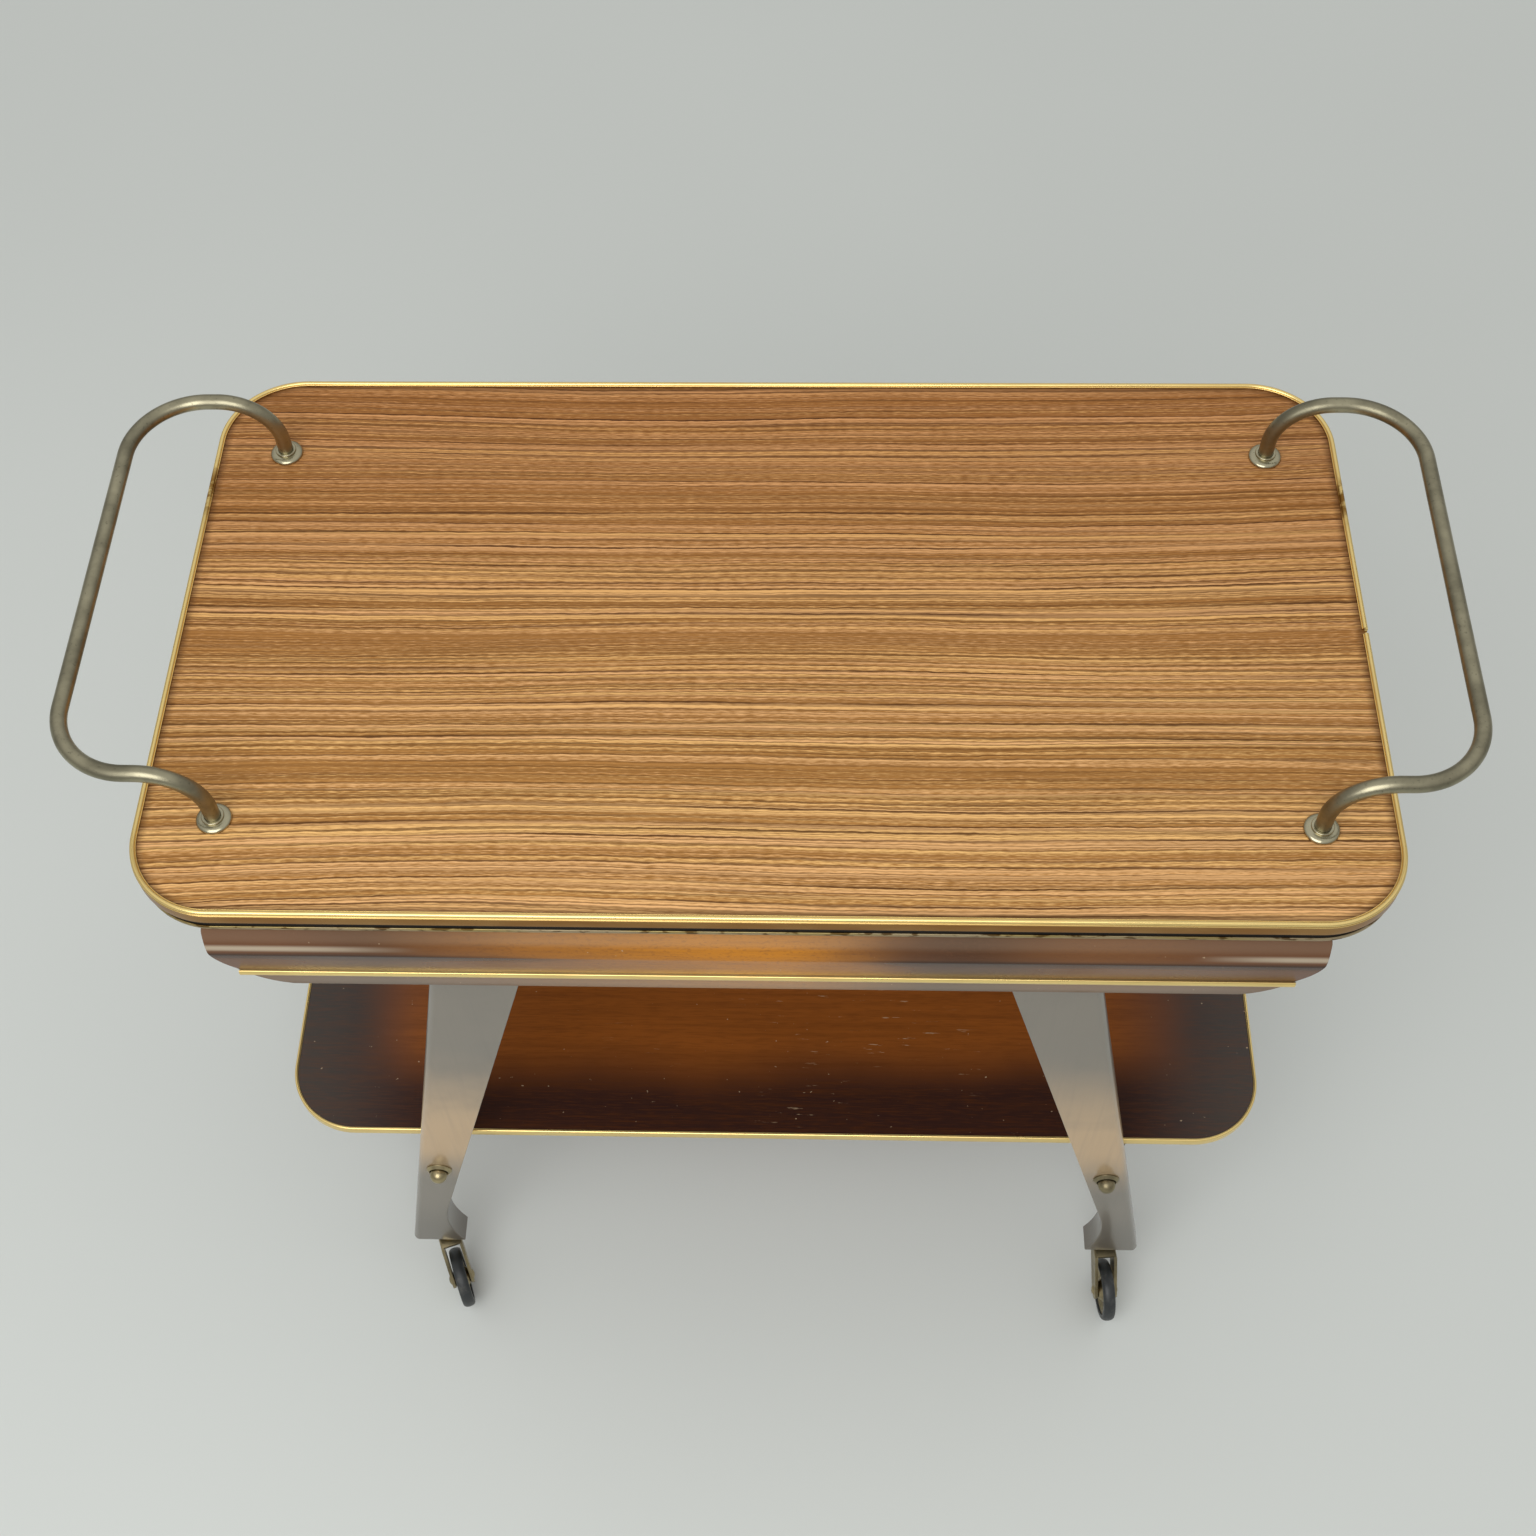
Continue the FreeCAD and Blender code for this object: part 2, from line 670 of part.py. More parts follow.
def shelf_trim():
    """Thin edge profile over the shelf's whole edge, with a low rounded lip round its top and a tongue."""
    tongue_low = shelf_tongue_z - TONGUE_THICKNESS / 2
    tongue_high = shelf_tongue_z + TONGUE_THICKNESS / 2
    lip_top = SHELF_HEIGHT + SHELF_LIP_HEIGHT
    face = SHELF_TRIM_FACE + EDGE_FIT
    lip_middle = (EDGE_FIT + face) / 2
    section = [
        (EDGE_FIT, SHELF_HEIGHT),
        (EDGE_FIT, tongue_high),
        (-TONGUE_DEPTH, tongue_high),
        (-TONGUE_DEPTH, tongue_low),
        (EDGE_FIT, tongue_low),
        (EDGE_FIT, shelf_low),
        (face, shelf_low),
        (face, SHELF_HEIGHT),
        ((lip_middle, lip_top), (EDGE_FIT, SHELF_HEIGHT)),
    ]
    return edging(section, shelf_half_length, shelf_half_width, shelf_corner, SHELF_TRIM_JOINT)


# Bolts through the legs, their axis pointing out of the rear face

def bolt_washer():
    """Dished washer: a rim on the leg, a raised crest and a flat floor that the ball head sits on."""
    bore = BOLT_DIAMETER / 2 + BOLT_FIT
    rim = DISH_DIAMETER / 2
    steps = [
        (bore, 0),
        (rim, 0),
        (rim, DISH_RIM),
        (BALL_RADIUS + DISH_CLEARANCE, DISH_RIM + DISH_CREST),
        (BALL_SEAT_RADIUS + DISH_CLEARANCE, DISH_RIM),
        (bore, DISH_RIM),
        (bore, 0),
    ]
    return turned(steps, bolt_axis(leg_front), BACK)


def bolt():
    """Ball head cut flat where it sits in its washer, and a shank through the leg into the bearer."""
    shank = BOLT_DIAMETER / 2
    tip = -LEG_THICKNESS - BOLT_REACH
    ball_middle = DISH_RIM + math.sqrt(BALL_RADIUS ** 2 - BALL_SEAT_RADIUS ** 2)
    steps = [
        (0, tip),
        (shank, tip),
        (shank, DISH_RIM),
        (BALL_SEAT_RADIUS, DISH_RIM),
        ((BALL_RADIUS, ball_middle), (0, ball_middle + BALL_RADIUS)),
        (0, tip),
    ]
    return turned(steps, bolt_axis(leg_front), BACK)


# Casters, made round a pivot at the origin with the wheel ahead of it along +X

stem_top = bridge_top + STEM_LENGTH
ring_low = stem_top - RING_FROM_STEM_END
ring_high = ring_low + RING_THICKNESS
groove_radius = STEM_DIAMETER / 2 - RING_GROOVE_DEPTH
ring_radius = groove_radius + RUNNING_FIT + RING_WIDTH
hub_radius = wheel_radius - TYRE_THICKNESS
boss_half = CHEEK_GAP / 2 - SIDE_PLAY
wheel_centre = Vector(FORK_TRAIL, 0, wheel_radius)


def ring_between(inner, outer, low, high):
    return rod(outer, UP * low, UP * high).cut(rod(inner, UP * low, UP * high))


def tangent_point(start, centre, radius, turn):
    """Where a line from a point touches a circle; turn is +1 for the left-hand side and -1 for the right."""
    away_x = centre[0] - start[0]
    away_z = centre[1] - start[1]
    distance = math.hypot(away_x, away_z)
    angle = math.atan2(away_z, away_x) + turn * math.asin(radius / distance)
    length = math.sqrt(distance ** 2 - radius ** 2)
    return (start[0] + length * math.cos(angle), start[1] + length * math.sin(angle))


def cap_middle(radius, height):
    """Point half way along the arc from a spherical cap's rim to its top."""
    sphere = (radius ** 2 + height ** 2) / (2 * height)
    angle = math.asin(radius / sphere) / 2
    return (sphere * math.sin(angle), height - sphere * (1 - math.cos(angle)))


def caster_socket():
    """Flanged sleeve in the foot, with a wider ring inside that takes the stem's grip ring."""
    sleeve = rod(SOCKET_DIAMETER / 2, UP * foot_low, UP * (foot_low + SOCKET_LENGTH))
    flange = rod(FLANGE_DIAMETER / 2, UP * flange_low, UP * foot_low)
    bore = rod(STEM_DIAMETER / 2 + RUNNING_FIT, UP * flange_low, UP * (foot_low + SOCKET_LENGTH))
    recess = rod(ring_radius + RING_PLAY, UP * (ring_low - RING_PLAY), UP * (ring_high + RING_PLAY))
    return sleeve.fuse(flange).cut([bore, recess])


def caster_fork():
    """Bent strap with two cheeks that lean forward to the axle, and a stem with a collar on top."""
    half = CHEEK_GAP / 2 + CHEEK_THICKNESS
    strap = block(Vector(-FORK_BACK, -half, bridge_low), Vector(FORK_FRONT, half, bridge_top))
    back = (-FORK_BACK, bridge_top)
    front = (FORK_FRONT, bridge_top)
    axle = (FORK_TRAIL, wheel_radius)
    lean_x = axle[0] - (back[0] + front[0]) / 2
    lean_z = axle[1] - bridge_top
    lean = CHEEK_END_RADIUS / math.hypot(lean_x, lean_z)
    tip = (axle[0] + lean_x * lean, axle[1] + lean_z * lean)
    outline = [
        front,
        back,
        tangent_point(back, axle, CHEEK_END_RADIUS, -1),
        (tip, tangent_point(front, axle, CHEEK_END_RADIUS, 1)),
        front,
    ]
    for side_y in (-half, CHEEK_GAP / 2):
        cheek = prism(outline, lambda x, z: Vector(x, side_y, z), BACK * CHEEK_THICKNESS)
        strap = strap.fuse(cheek)
    strap = strap.removeSplitter()
    corners = [edge for edge in strap.Edges if on_strap_corner(edge, half)]
    strap = strap.makeFillet(BRIDGE_ROUND, corners)
    collar = rod(COLLAR_DIAMETER / 2, UP * bridge_top, UP * (bridge_top + COLLAR_HEIGHT))
    stem = rod(STEM_DIAMETER / 2, UP * bridge_top, UP * stem_top)
    stem = stem.cut(ring_between(groove_radius, STEM_DIAMETER, ring_low, ring_high))
    hole_radius = AXLE_DIAMETER / 2 + RUNNING_FIT
    axle_hole = rod(hole_radius, wheel_centre - BACK * half, wheel_centre + BACK * half)
    return strap.cut(axle_hole).fuse([collar, stem])


def on_strap_corner(edge, half):
    """True for the two bends along the top of the strap."""
    ends = [vertex.Point for vertex in edge.Vertexes]
    return all(abs(abs(point.y) - half) < EDGE_FIT and abs(point.z - bridge_top) < EDGE_FIT for point in ends)


def caster_grip_ring():
    """Split spring ring in the stem's groove."""
    inner = groove_radius + RUNNING_FIT
    ring = ring_between(inner, ring_radius, ring_low + RUNNING_FIT, ring_high - RUNNING_FIT)
    slot = block(Vector(0, -RING_GAP / 2, ring_low), Vector(ring_radius, RING_GAP / 2, ring_high))
    return ring.cut(slot)


def caster_axle():
    """Rivet with a domed head against each cheek."""
    half = CHEEK_GAP / 2 + CHEEK_THICKNESS
    pin = AXLE_DIAMETER / 2
    head = AXLE_HEAD_DIAMETER / 2
    end = half + AXLE_HEAD_HEIGHT
    dome = cap_middle(head, AXLE_HEAD_HEIGHT)
    steps = [
        (0, -end),
        ((dome[0], -half - dome[1]), (head, -half)),
        (pin, -half),
        (pin, half),
        (head, half),
        ((dome[0], half + dome[1]), (0, end)),
        (0, -end),
    ]
    return turned(steps, wheel_centre, BACK)


def caster_hub():
    """Dished disc: a boss on the axle, a thin web and a wider rim inside the tyre."""
    bore = AXLE_DIAMETER / 2 + RUNNING_FIT
    boss = HUB_BOSS_DIAMETER / 2
    rim = hub_radius - HUB_RIM_DEPTH
    web = HUB_WEB_WIDTH / 2
    face = HUB_RIM_WIDTH / 2
    right = [
        (bore, boss_half),
        (boss, boss_half),
        (boss + boss_half - web, web),
        (rim - face + web, web),
        (rim, face),
        (hub_radius, face),
    ]
    left = [(radius, -along) for radius, along in reversed(right)]
    return turned(right + left + [right[0]], wheel_centre, BACK)


def caster_tyre():
    """Rubber ring with a rounded tread, on the hub's rim."""
    inner = hub_radius + TYRE_FIT
    half = TYRE_WIDTH / 2
    shoulder = wheel_radius - TYRE_ROUND
    steps = [
        (inner, half),
        (shoulder, half),
        ((wheel_radius, 0), (shoulder, -half)),
        (inner, -half),
        (inner, half),
    ]
    return turned(steps, wheel_centre, BACK)


# Assembly

SIDES = {"left": -1, "right": 1}
ENDS = {"front": -1, "rear": 1}
HEADINGS = {
    "front_left": FRONT_LEFT_HEADING - 90,
    "front_right": FRONT_RIGHT_HEADING - 90,
    "rear_left": FRONT_RIGHT_HEADING + 90,
    "rear_right": FRONT_LEFT_HEADING + 90,
}
CASTER_PIECES = {
    "caster_socket": caster_socket,
    "caster_fork": caster_fork,
    "caster_grip_ring": caster_grip_ring,
    "caster_axle": caster_axle,
    "caster_hub": caster_hub,
    "caster_tyre": caster_tyre,
}

nodes = {
    "top_board": top_board(),
    "top_laminate": top_laminate(),
    "top_edge_trim": top_trim(),
    "top_lower_strip": top_strip(),
    "lower_shelf": lower_shelf(),
    "lower_shelf_trim": shelf_trim(),
    "handle_washers": handle_washers(),
    "handle_nuts": handle_nuts(),
    "leg_screws": screws(leg_screws()),
    "apron_screws": screws(apron_screws()),
    "top_bearer_screws": screws(top_screws()),
    "shelf_bearer_screws": screws(shelf_screws()),
    "leg_bolt_washers": Part.makeCompound(at_corners(bolt_washer())),
    "leg_bolts": Part.makeCompound(at_corners(bolt())),
}
for side, side_x in SIDES.items():
    nodes[side + "_handle"] = mirrored(handle(), side_x, 1)
    nodes[side + "_top_bearer"] = mirrored(top_bearer(), side_x, 1)
    nodes[side + "_shelf_bearer"] = mirrored(shelf_bearer(), side_x, 1)
for end, side_y in ENDS.items():
    nodes[end + "_apron"] = mirrored(apron(), 1, side_y)
    nodes[end + "_apron_strip"] = mirrored(apron_strip(), 1, side_y)
    for side, side_x in SIDES.items():
        corner = end + "_" + side
        nodes[corner + "_leg"] = mirrored(leg(), side_x, side_y)
        nodes[corner + "_handle_rosette"] = mirrored(rosette(), side_x, side_y)
        for piece, make in CASTER_PIECES.items():
            shape = make()
            shape.rotate(CENTRE, UP, HEADINGS[corner])
            shape.translate(Vector(side_x * caster_x, side_y * caster_y, 0))
            nodes[corner + "_" + piece] = shape

os.makedirs("parts", exist_ok=True)
for name, shape in nodes.items():
    shape.exportStep("parts/" + name + ".step")
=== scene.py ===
import json
import math

import bmesh
import bpy
import numpy as np
from bpy.props import FloatProperty, FloatVectorProperty, PointerProperty
from mathutils import Matrix, Vector


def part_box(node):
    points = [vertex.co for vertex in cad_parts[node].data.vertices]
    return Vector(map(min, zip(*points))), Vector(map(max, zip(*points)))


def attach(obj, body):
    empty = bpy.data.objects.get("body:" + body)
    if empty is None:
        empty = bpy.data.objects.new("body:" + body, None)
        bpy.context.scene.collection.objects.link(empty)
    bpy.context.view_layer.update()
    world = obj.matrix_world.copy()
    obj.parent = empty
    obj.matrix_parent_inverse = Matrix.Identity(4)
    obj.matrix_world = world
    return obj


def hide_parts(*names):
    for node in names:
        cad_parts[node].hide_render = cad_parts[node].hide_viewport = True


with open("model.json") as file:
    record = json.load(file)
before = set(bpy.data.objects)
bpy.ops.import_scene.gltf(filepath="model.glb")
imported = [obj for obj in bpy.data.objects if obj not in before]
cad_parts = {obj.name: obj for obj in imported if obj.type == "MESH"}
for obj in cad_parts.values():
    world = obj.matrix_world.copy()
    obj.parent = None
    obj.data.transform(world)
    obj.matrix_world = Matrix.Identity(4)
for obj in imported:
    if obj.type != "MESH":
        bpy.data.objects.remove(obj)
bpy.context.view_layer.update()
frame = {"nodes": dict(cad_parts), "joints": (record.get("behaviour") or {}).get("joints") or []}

bl_info = {
    "name": "Bar cart",
    "version": (1, 0, 0),
    "blender": (4, 5, 0),
    "location": "3D View > Sidebar > Bar cart",
    "description": "Gives the bar cart its smooth surfaces, its finishes and a plain studio stage",
    "category": "Object",
}

# Lengths are in metres. X runs along the cart, Y from front to back and Z up.
UP = np.array([0.0, 0.0, 1.0])
BACK = np.array([0.0, 1.0, 0.0])
SIDES = {"left": -1.0, "right": 1.0}
ENDS = {"front": -1.0, "rear": 1.0}
CORNERS = {end + "_" + side: (sx, sy) for end, sy in ENDS.items() for side, sx in SIDES.items()}
JOINTS = {joint["name"]: joint for joint in frame["joints"]}
# Points closer than MERGE become one, and edges sharper than SHARP stay sharp
MERGE = 1e-6
SHARP = math.radians(34.0)
# Numbers of a colour Mix node's sockets
MIX_FIRST, MIX_SECOND, MIX_RESULT = 6, 7, 2
# A direction along no axis of the cart
ASKEW = np.array([0.31, 0.57, 0.76])


def length(name, description, default):
    """A size in metres for a property group."""
    return FloatProperty(name=name, description=description, default=default, min=0.0, precision=5,
                         unit="LENGTH")


def angle(name, description, degrees):
    """An angle for a property group, given in degrees."""
    return FloatProperty(name=name, description=description, default=math.radians(degrees), subtype="ANGLE")


def colour(name, description, default):
    """A linear colour for a property group."""
    return FloatVectorProperty(name=name, description=description, default=default, size=3, min=0.0,
                               max=1.0, subtype="COLOR")


class EdgingSizes(bpy.types.PropertyGroup):
    """Edge trims of the top and the shelf"""
    corner: length("Corner radius", "Outer corner radius of the top", 0.054)
    face: length("Face", "How far the top's trim stands out from its board", 0.0025)
    overlap: length("Overlap", "How far the trim's lip reaches over the laminate", 0.0015)
    lip: length("Lip", "Height of the trim's lip over the laminate", 0.0024)
    crown: length("Crown", "Height where the lip's crown begins", 0.0009)
    bead: length("Bead", "Radius of the fine beads beside the crown", 0.0003)
    groove: length("Groove", "Depth of the grooves in the trim's face", 0.00045)
    joint: length("Joint", "Gap where the ends of the top's trim meet", 0.004)
    strip_face: length("Strip face", "How far the lower strip stands out", 0.001)
    strip_shoulder: length("Strip shoulder", "Where the lower strip's round begins", 0.0004)
    shelf_corner: length("Shelf corner radius", "Outer corner radius of the shelf", 0.052)
    shelf_face: length("Shelf face", "How far the shelf's trim stands out from its board", 0.0025)
    close_joint: length("Close joint", "Gap where the ends of the slim trims meet", 0.0006)
    fit: length("Fit", "Room between a board's edge and its trim", 0.00005)
    ease: length("Ease", "Round of the trims' lower edges", 0.0006)


class HandleSizes(bpy.types.PropertyGroup):
    """Bent rod handles and their rosettes"""
    rod: length("Rod radius", "Radius of the bent rod", 0.005)
    stud: length("Stud radius", "Radius of the stud through the top", 0.003)
    riser: length("Riser", "Straight length above the top", 0.015)
    riser_bend: length("Riser bend", "Radius of the bend from the riser to the arm", 0.035)
    arm: length("Arm", "Straight length of the arm", 0.006)
    grip_bend: length("Grip bend", "Radius of the bend from the arm to the grip", 0.046)
    bore: length("Rosette bore", "Radius of the rosette's bore", 0.00515)
    rim: length("Rosette rim", "Height of the rosette's rim", 0.0009)
    dome: length("Rosette dome", "Height of the rosette's dome", 0.0032)
    collar: length("Rosette collar", "Radius of the rosette's collar", 0.0068)
    ease: length("Ease", "Round of the studs' and the collars' edges", 0.0006)
    foot_ease: length("Foot ease", "Round of the rosette's lower edge", 0.0002)


class ApronSizes(bpy.types.PropertyGroup):
    """Shaped aprons under the long edges"""
    board: length("Board", "Thickness of the flat band", 0.010)
    nose: length("Nose", "How far the nose stands out from the flat band", 0.0046)
    nose_radius: length("Nose radius", "Radius of the nose's round", 0.047)
    crest: length("Crest", "Height of the nose's crest over the apron's lower edge", 0.046)
    band: length("Band", "Height of the flat band", 0.020)
    end_radius: length("End radius", "Radius of the swept lower ends", 0.050)
    top_radius: length("Top radius", "Radius of the upper ends", 0.009)
    arris: length("Arris", "Round of the apron's edges", 0.0010)
    strip_shoulder: length("Strip shoulder", "Where the strip's round begins", 0.0006)


class LegSizes(bpy.types.PropertyGroup):
    """Tapered legs with a scooped foot"""
    outer_splay: angle("Outer splay", "Lean of the outer edge", 10.43)
    inner_splay: angle("Inner splay", "Lean of the inner edge", 14.68)
    ankle_rise: length("Ankle rise", "Height of the ankle over the foot", 0.072)
    ankle: length("Ankle", "Width at the ankle", 0.026)
    foot: length("Foot", "Width of the foot", 0.043)
    outer_round: length("Outer round", "Round of the outer edges", 0.005)
    arris: length("Arris", "Round of the other edges", 0.0009)


class FittingSizes(bpy.types.PropertyGroup):
    """Ball bolts and wheels"""
    shank: length("Shank", "Radius of the bolt's shank", 0.003)
    reach: length("Reach", "How far the bolt goes into the bearer behind its leg", 0.030)
    ball: length("Ball", "Radius of the bolt's ball head", 0.0066)
    seat: length("Seat", "Radius of the flat that the ball sits on", 0.0057)
    dish: length("Dish", "Height of the dished washer's crest over its floor", 0.0018)
    floor: length("Floor", "Thickness of the dished washer's floor", 0.0012)
    lip: length("Lip", "Room between the ball and the dished washer's crest", 0.0006)
    fit: length("Fit", "Room between the bolt and its washer", 0.0001)
    ease: length("Ease", "Round of the bolts' and the wheels' small edges", 0.0005)
    axle: length("Axle", "Radius of the hub's bore", 0.00255)
    boss: length("Boss", "Radius of the hub's boss", 0.006)
    boss_face: length("Boss face", "Half the length of the hub's boss", 0.0064)
    web: length("Web", "Thickness of the hub's disc", 0.003)
    hub_rim: length("Hub rim", "Depth of the hub's rim", 0.003)
    rim_face: length("Rim face", "Half the width of the hub's rim", 0.0035)
    fillet: length("Fillet", "Round between the hub's disc and its slopes", 0.0008)
    tyre: length("Tyre", "Depth of the tyre", 0.0054)
    tyre_half: length("Tyre half width", "Half the width of the tyre", 0.0048)
    tyre_fit: length("Tyre fit", "Room between the hub and the tyre", 0.00005)
    tread: length("Tread", "Rise of the tyre's round tread", 0.0026)


class CartColours(bpy.types.PropertyGroup):
    """Colours of the finishes"""
    laminate: colour("Laminate", "Golden ground of the printed grain", (0.86, 0.485, 0.205))
    laminate_glow: colour("Laminate glow", "Yellow streaks of the printed grain", (0.90, 0.530, 0.196))
    laminate_band: colour("Laminate band", "Brown bands of the printed grain", (0.43, 0.200, 0.052))
    laminate_line: colour("Laminate line", "Dark lines of the printed grain", (0.090, 0.031, 0.005))
    # Painted shade: the share of its colours that the print keeps towards the back, where less light falls
    laminate_back_shade: colour("Laminate depth", "Share of its colours that the print keeps at the back",
                           (0.79, 0.66, 0.60))
    amber: colour("Amber", "Apron's lacquer in the middle of its shading", (0.54, 0.205, 0.018))
    shade: colour("Shade", "Apron's lacquer at the ends of its shading", (0.145, 0.060, 0.026))
    # Leg, made paler, also colours the painted grey reflection under the apron's strip, the painted
    # highlight at the nose's ends and the painted reflection at the shelf's ends
    leg: colour("Leg", "Lacquer of the legs", (0.165, 0.138, 0.102))
    leg_band: colour("Leg band", "Lighter band across the legs", (0.52, 0.340, 0.170))
    shelf: colour("Shelf", "Lacquer in the middle of the shelf", (0.268, 0.076, 0.011))
    shelf_shade: colour("Shelf shade", "Lacquer round the shelf's edge", (0.034, 0.0125, 0.009))
    gold: colour("Gold", "Trims", (0.93, 0.70, 0.28))
    bronze: colour("Bronze", "Trims where they have darkened", (0.27, 0.110, 0.008))
    worn: colour("Worn strip", "Strip under the top where it is rubbed", (0.40, 0.32, 0.20))
    brass: colour("Brass", "Bolts and casters", (0.40, 0.33, 0.19))
    handle: colour("Handle", "Handles and rosettes", (0.370, 0.340, 0.234))
    patina: colour("Patina", "Brass where it has dulled", (0.20, 0.170, 0.105))
    stain: colour("Stain", "Hidden boards", (0.055, 0.030, 0.019))
    # Scuff also colours the painted sheen up the apron's nose
    scuff: colour("Scuff", "Bare wood in scuffs and chips", (0.46, 0.33, 0.20))
    steel: colour("Steel", "Screws, nuts and sockets", (0.62, 0.62, 0.60))
    steel_dull: colour("Dull steel", "Steel where it has dulled", (0.42, 0.42, 0.40))
    rubber: colour("Rubber", "Tyres", (0.022, 0.025, 0.026))
    dust: colour("Dust", "Dust on the tyres", (0.14, 0.135, 0.12))
    floor: colour("Floor", "Studio floor", (0.70, 0.73, 0.705))


# Surfaces: each is its points, its quads and its end caps

def quads(rows, columns, ring_rows=False, ring_columns=False):
    """Corner numbers of a grid's quads: point r, c is r * columns + c, and a ring joins its last row or
    column to its first."""
    r, c = np.meshgrid(np.arange(rows if ring_rows else rows - 1),
                       np.arange(columns if ring_columns else columns - 1), indexing="ij")
    down = (r + 1) % rows
    right = (c + 1) % columns
    corners = [r * columns + c, r * columns + right, down * columns + right, down * columns + c]
    return np.stack(corners, axis=-1).reshape(-1, 4)


def end_caps(rows, columns):
    """Corner numbers of the first and the last row of a grid, as two faces."""
    last = (rows - 1) * columns
    return [list(range(columns)), list(range(last, last + columns))]


def arc(centre_x, centre_y, radius_x, radius_y, start, end, count):
    """Points on an ellipse's arc: the centre plus the radii times the cosine and sine of angles that go
    evenly from start to end, in degrees."""
    turn = np.radians(np.linspace(start, end, count))
    return np.stack([centre_x + radius_x * np.cos(turn), centre_y + radius_y * np.sin(turn)], axis=1)


def chain(*runs):
    """One line of points from several runs."""
    return np.concatenate([np.atleast_2d(np.asarray(run, dtype=float)) for run in runs])


def quarter_turns(count):
    """Angles of four quarter circles, one after the other, as four rows."""
    quarters = np.radians([0, 90, 180, 270])
    return quarters[:, None] + np.radians(np.linspace(0, 90, count))[None, :]


def plate_edge(half_length, half_width, radius, joint):
    """Points and outward directions round a plate's edge, from one side of a joint on its right end to the
    other. Each corner is a quarter circle, whose directions are its cosine and sine, and straight runs join
    them."""
    count = 28
    turns = quarter_turns(count).ravel()
    way = np.stack([np.cos(turns), np.sin(turns), np.zeros_like(turns)], axis=1)
    signs = np.repeat([[1, 1, 0], [-1, 1, 0], [-1, -1, 0], [1, -1, 0]], count, axis=0)
    centres = signs * np.array([half_length - radius, half_width - radius, 0])
    points = chain([half_length, joint / 2, 0], centres + radius * way, [half_length, -joint / 2, 0])
    return points, chain([1, 0, 0], way, [1, 0, 0])


def carried(section, points, outward):
    """A closed section of outward and height values carried along a path: the path's point plus its outward
    direction times the one plus up times the other."""
    grid = points[:, None, :] + outward[:, None, :] * section[None, :, :1] + UP * section[None, :, 1:]
    rows, columns = grid.shape[:2]
    return grid.reshape(-1, 3), quads(rows, columns, ring_columns=True), end_caps(rows, columns)


def turned(profile, centre, axis, count=72, ring=False):
    """A profile of radius and distance turned about an axis: centre plus axis times distance plus radius
    times the cosine and sine of the turn along two directions square to the axis."""
    axis = np.asarray(axis, dtype=float)
    axis = axis / np.linalg.norm(axis)
    first = np.cross(axis, ASKEW)
    first = first / np.linalg.norm(first)
    second = np.cross(axis, first)
    turn = np.linspace(0, 2 * np.pi, count, endpoint=False)
    round_way = np.cos(turn)[:, None] * first + np.sin(turn)[:, None] * second
    grid = (np.asarray(centre) + axis * profile[:, None, 1:]) + round_way[None, :, :] * profile[:, None, :1]
    return grid.reshape(-1, 3), quads(len(profile), count, ring_rows=ring, ring_columns=True), []


def rod_along(points, side, lift, radius, count=32):
    """A round rod, closed at both ends: point plus radius times the cosine along side and the sine along
    lift."""
    turn = np.linspace(0, 2 * np.pi, count, endpoint=False)[None, :, None]
    grid = points[:, None, :] + radius * (np.cos(turn) * side[:, None, :] + np.sin(turn) * lift[:, None, :])
    rows = len(points)
    return grid.reshape(-1, 3), quads(rows, count, ring_columns=True), end_caps(rows, count)


def stacked(x_low, x_high, y_low, y_high, z, radii):
    """A board as level slices: each is a rectangle with round corners, whose points are the corner's centre
    plus its radius times the cosine and sine of a quarter turn. The four radii go round from the far right
    corner."""
    count = 7
    turns = quarter_turns(count)
    ends_x = np.stack([x_high - radii[0], x_low + radii[1], x_low + radii[2], x_high - radii[3]], axis=1)
    ends_y = np.stack([y_high - radii[0], y_high - radii[1], y_low + radii[2], y_low + radii[3]], axis=1)
    rounds = np.asarray(radii)[None, :, None]
    x = ends_x[:, :, None] + rounds * np.cos(turns)[None]
    y = ends_y[:, :, None] + rounds * np.sin(turns)[None]
    level = np.broadcast_to(z[:, None, None], x.shape)
    rows, columns = len(z), turns.size
    grid = np.stack([x, y, level], axis=-1)
    return grid.reshape(-1, 3), quads(rows, columns, ring_columns=True), end_caps(rows, columns)


def foot_ease(base, radius):
    """Heights up a quarter circle at a board's lower edge, and how far the board is drawn in at each."""
    rows = 6
    turn = np.radians(np.linspace(0, 90, rows))
    return base + radius * (1 - np.cos(turn)), radius * (1 - np.sin(turn))


def mirrored(surface, sign_x, sign_y):
    """The same surface across the cart; the normals are set again when it becomes a mesh."""
    points, faces, caps = surface
    return points * np.array([sign_x, sign_y, 1.0]), faces, caps


def add_piece(name, surfaces, finish, body, slot, *nodes):
    """Makes one mesh of some surfaces, merged at their poles and facing outwards, and stands it in for its
    nodes."""
    points = np.concatenate([surface[0] for surface in surfaces])
    faces = []
    start = 0
    for own, own_quads, caps in surfaces:
        faces += (own_quads + start).tolist()
        faces += [[corner + start for corner in cap] for cap in caps]
        start += len(own)
    mesh = bpy.data.meshes.new(name)
    mesh.from_pydata(points.tolist(), [], faces)
    work = bmesh.new()
    work.from_mesh(mesh)
    bmesh.ops.remove_doubles(work, verts=work.verts, dist=MERGE)
    bmesh.ops.recalc_face_normals(work, faces=work.faces)
    work.to_mesh(mesh)
    work.free()
    mesh.shade_smooth()
    mesh.set_sharp_from_angle(angle=SHARP)
    mesh.materials.append(finish)
    piece = bpy.data.objects.new(name, mesh)
    bpy.context.scene.collection.objects.link(piece)
    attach(piece, body)
    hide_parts(*nodes)


def refinish(finish, *nodes):
    """Gives CAD nodes, whose shapes stay, a finish."""
    for node in nodes:
        for slot in frame["nodes"][node].material_slots:
            slot.material = finish


# Finishes

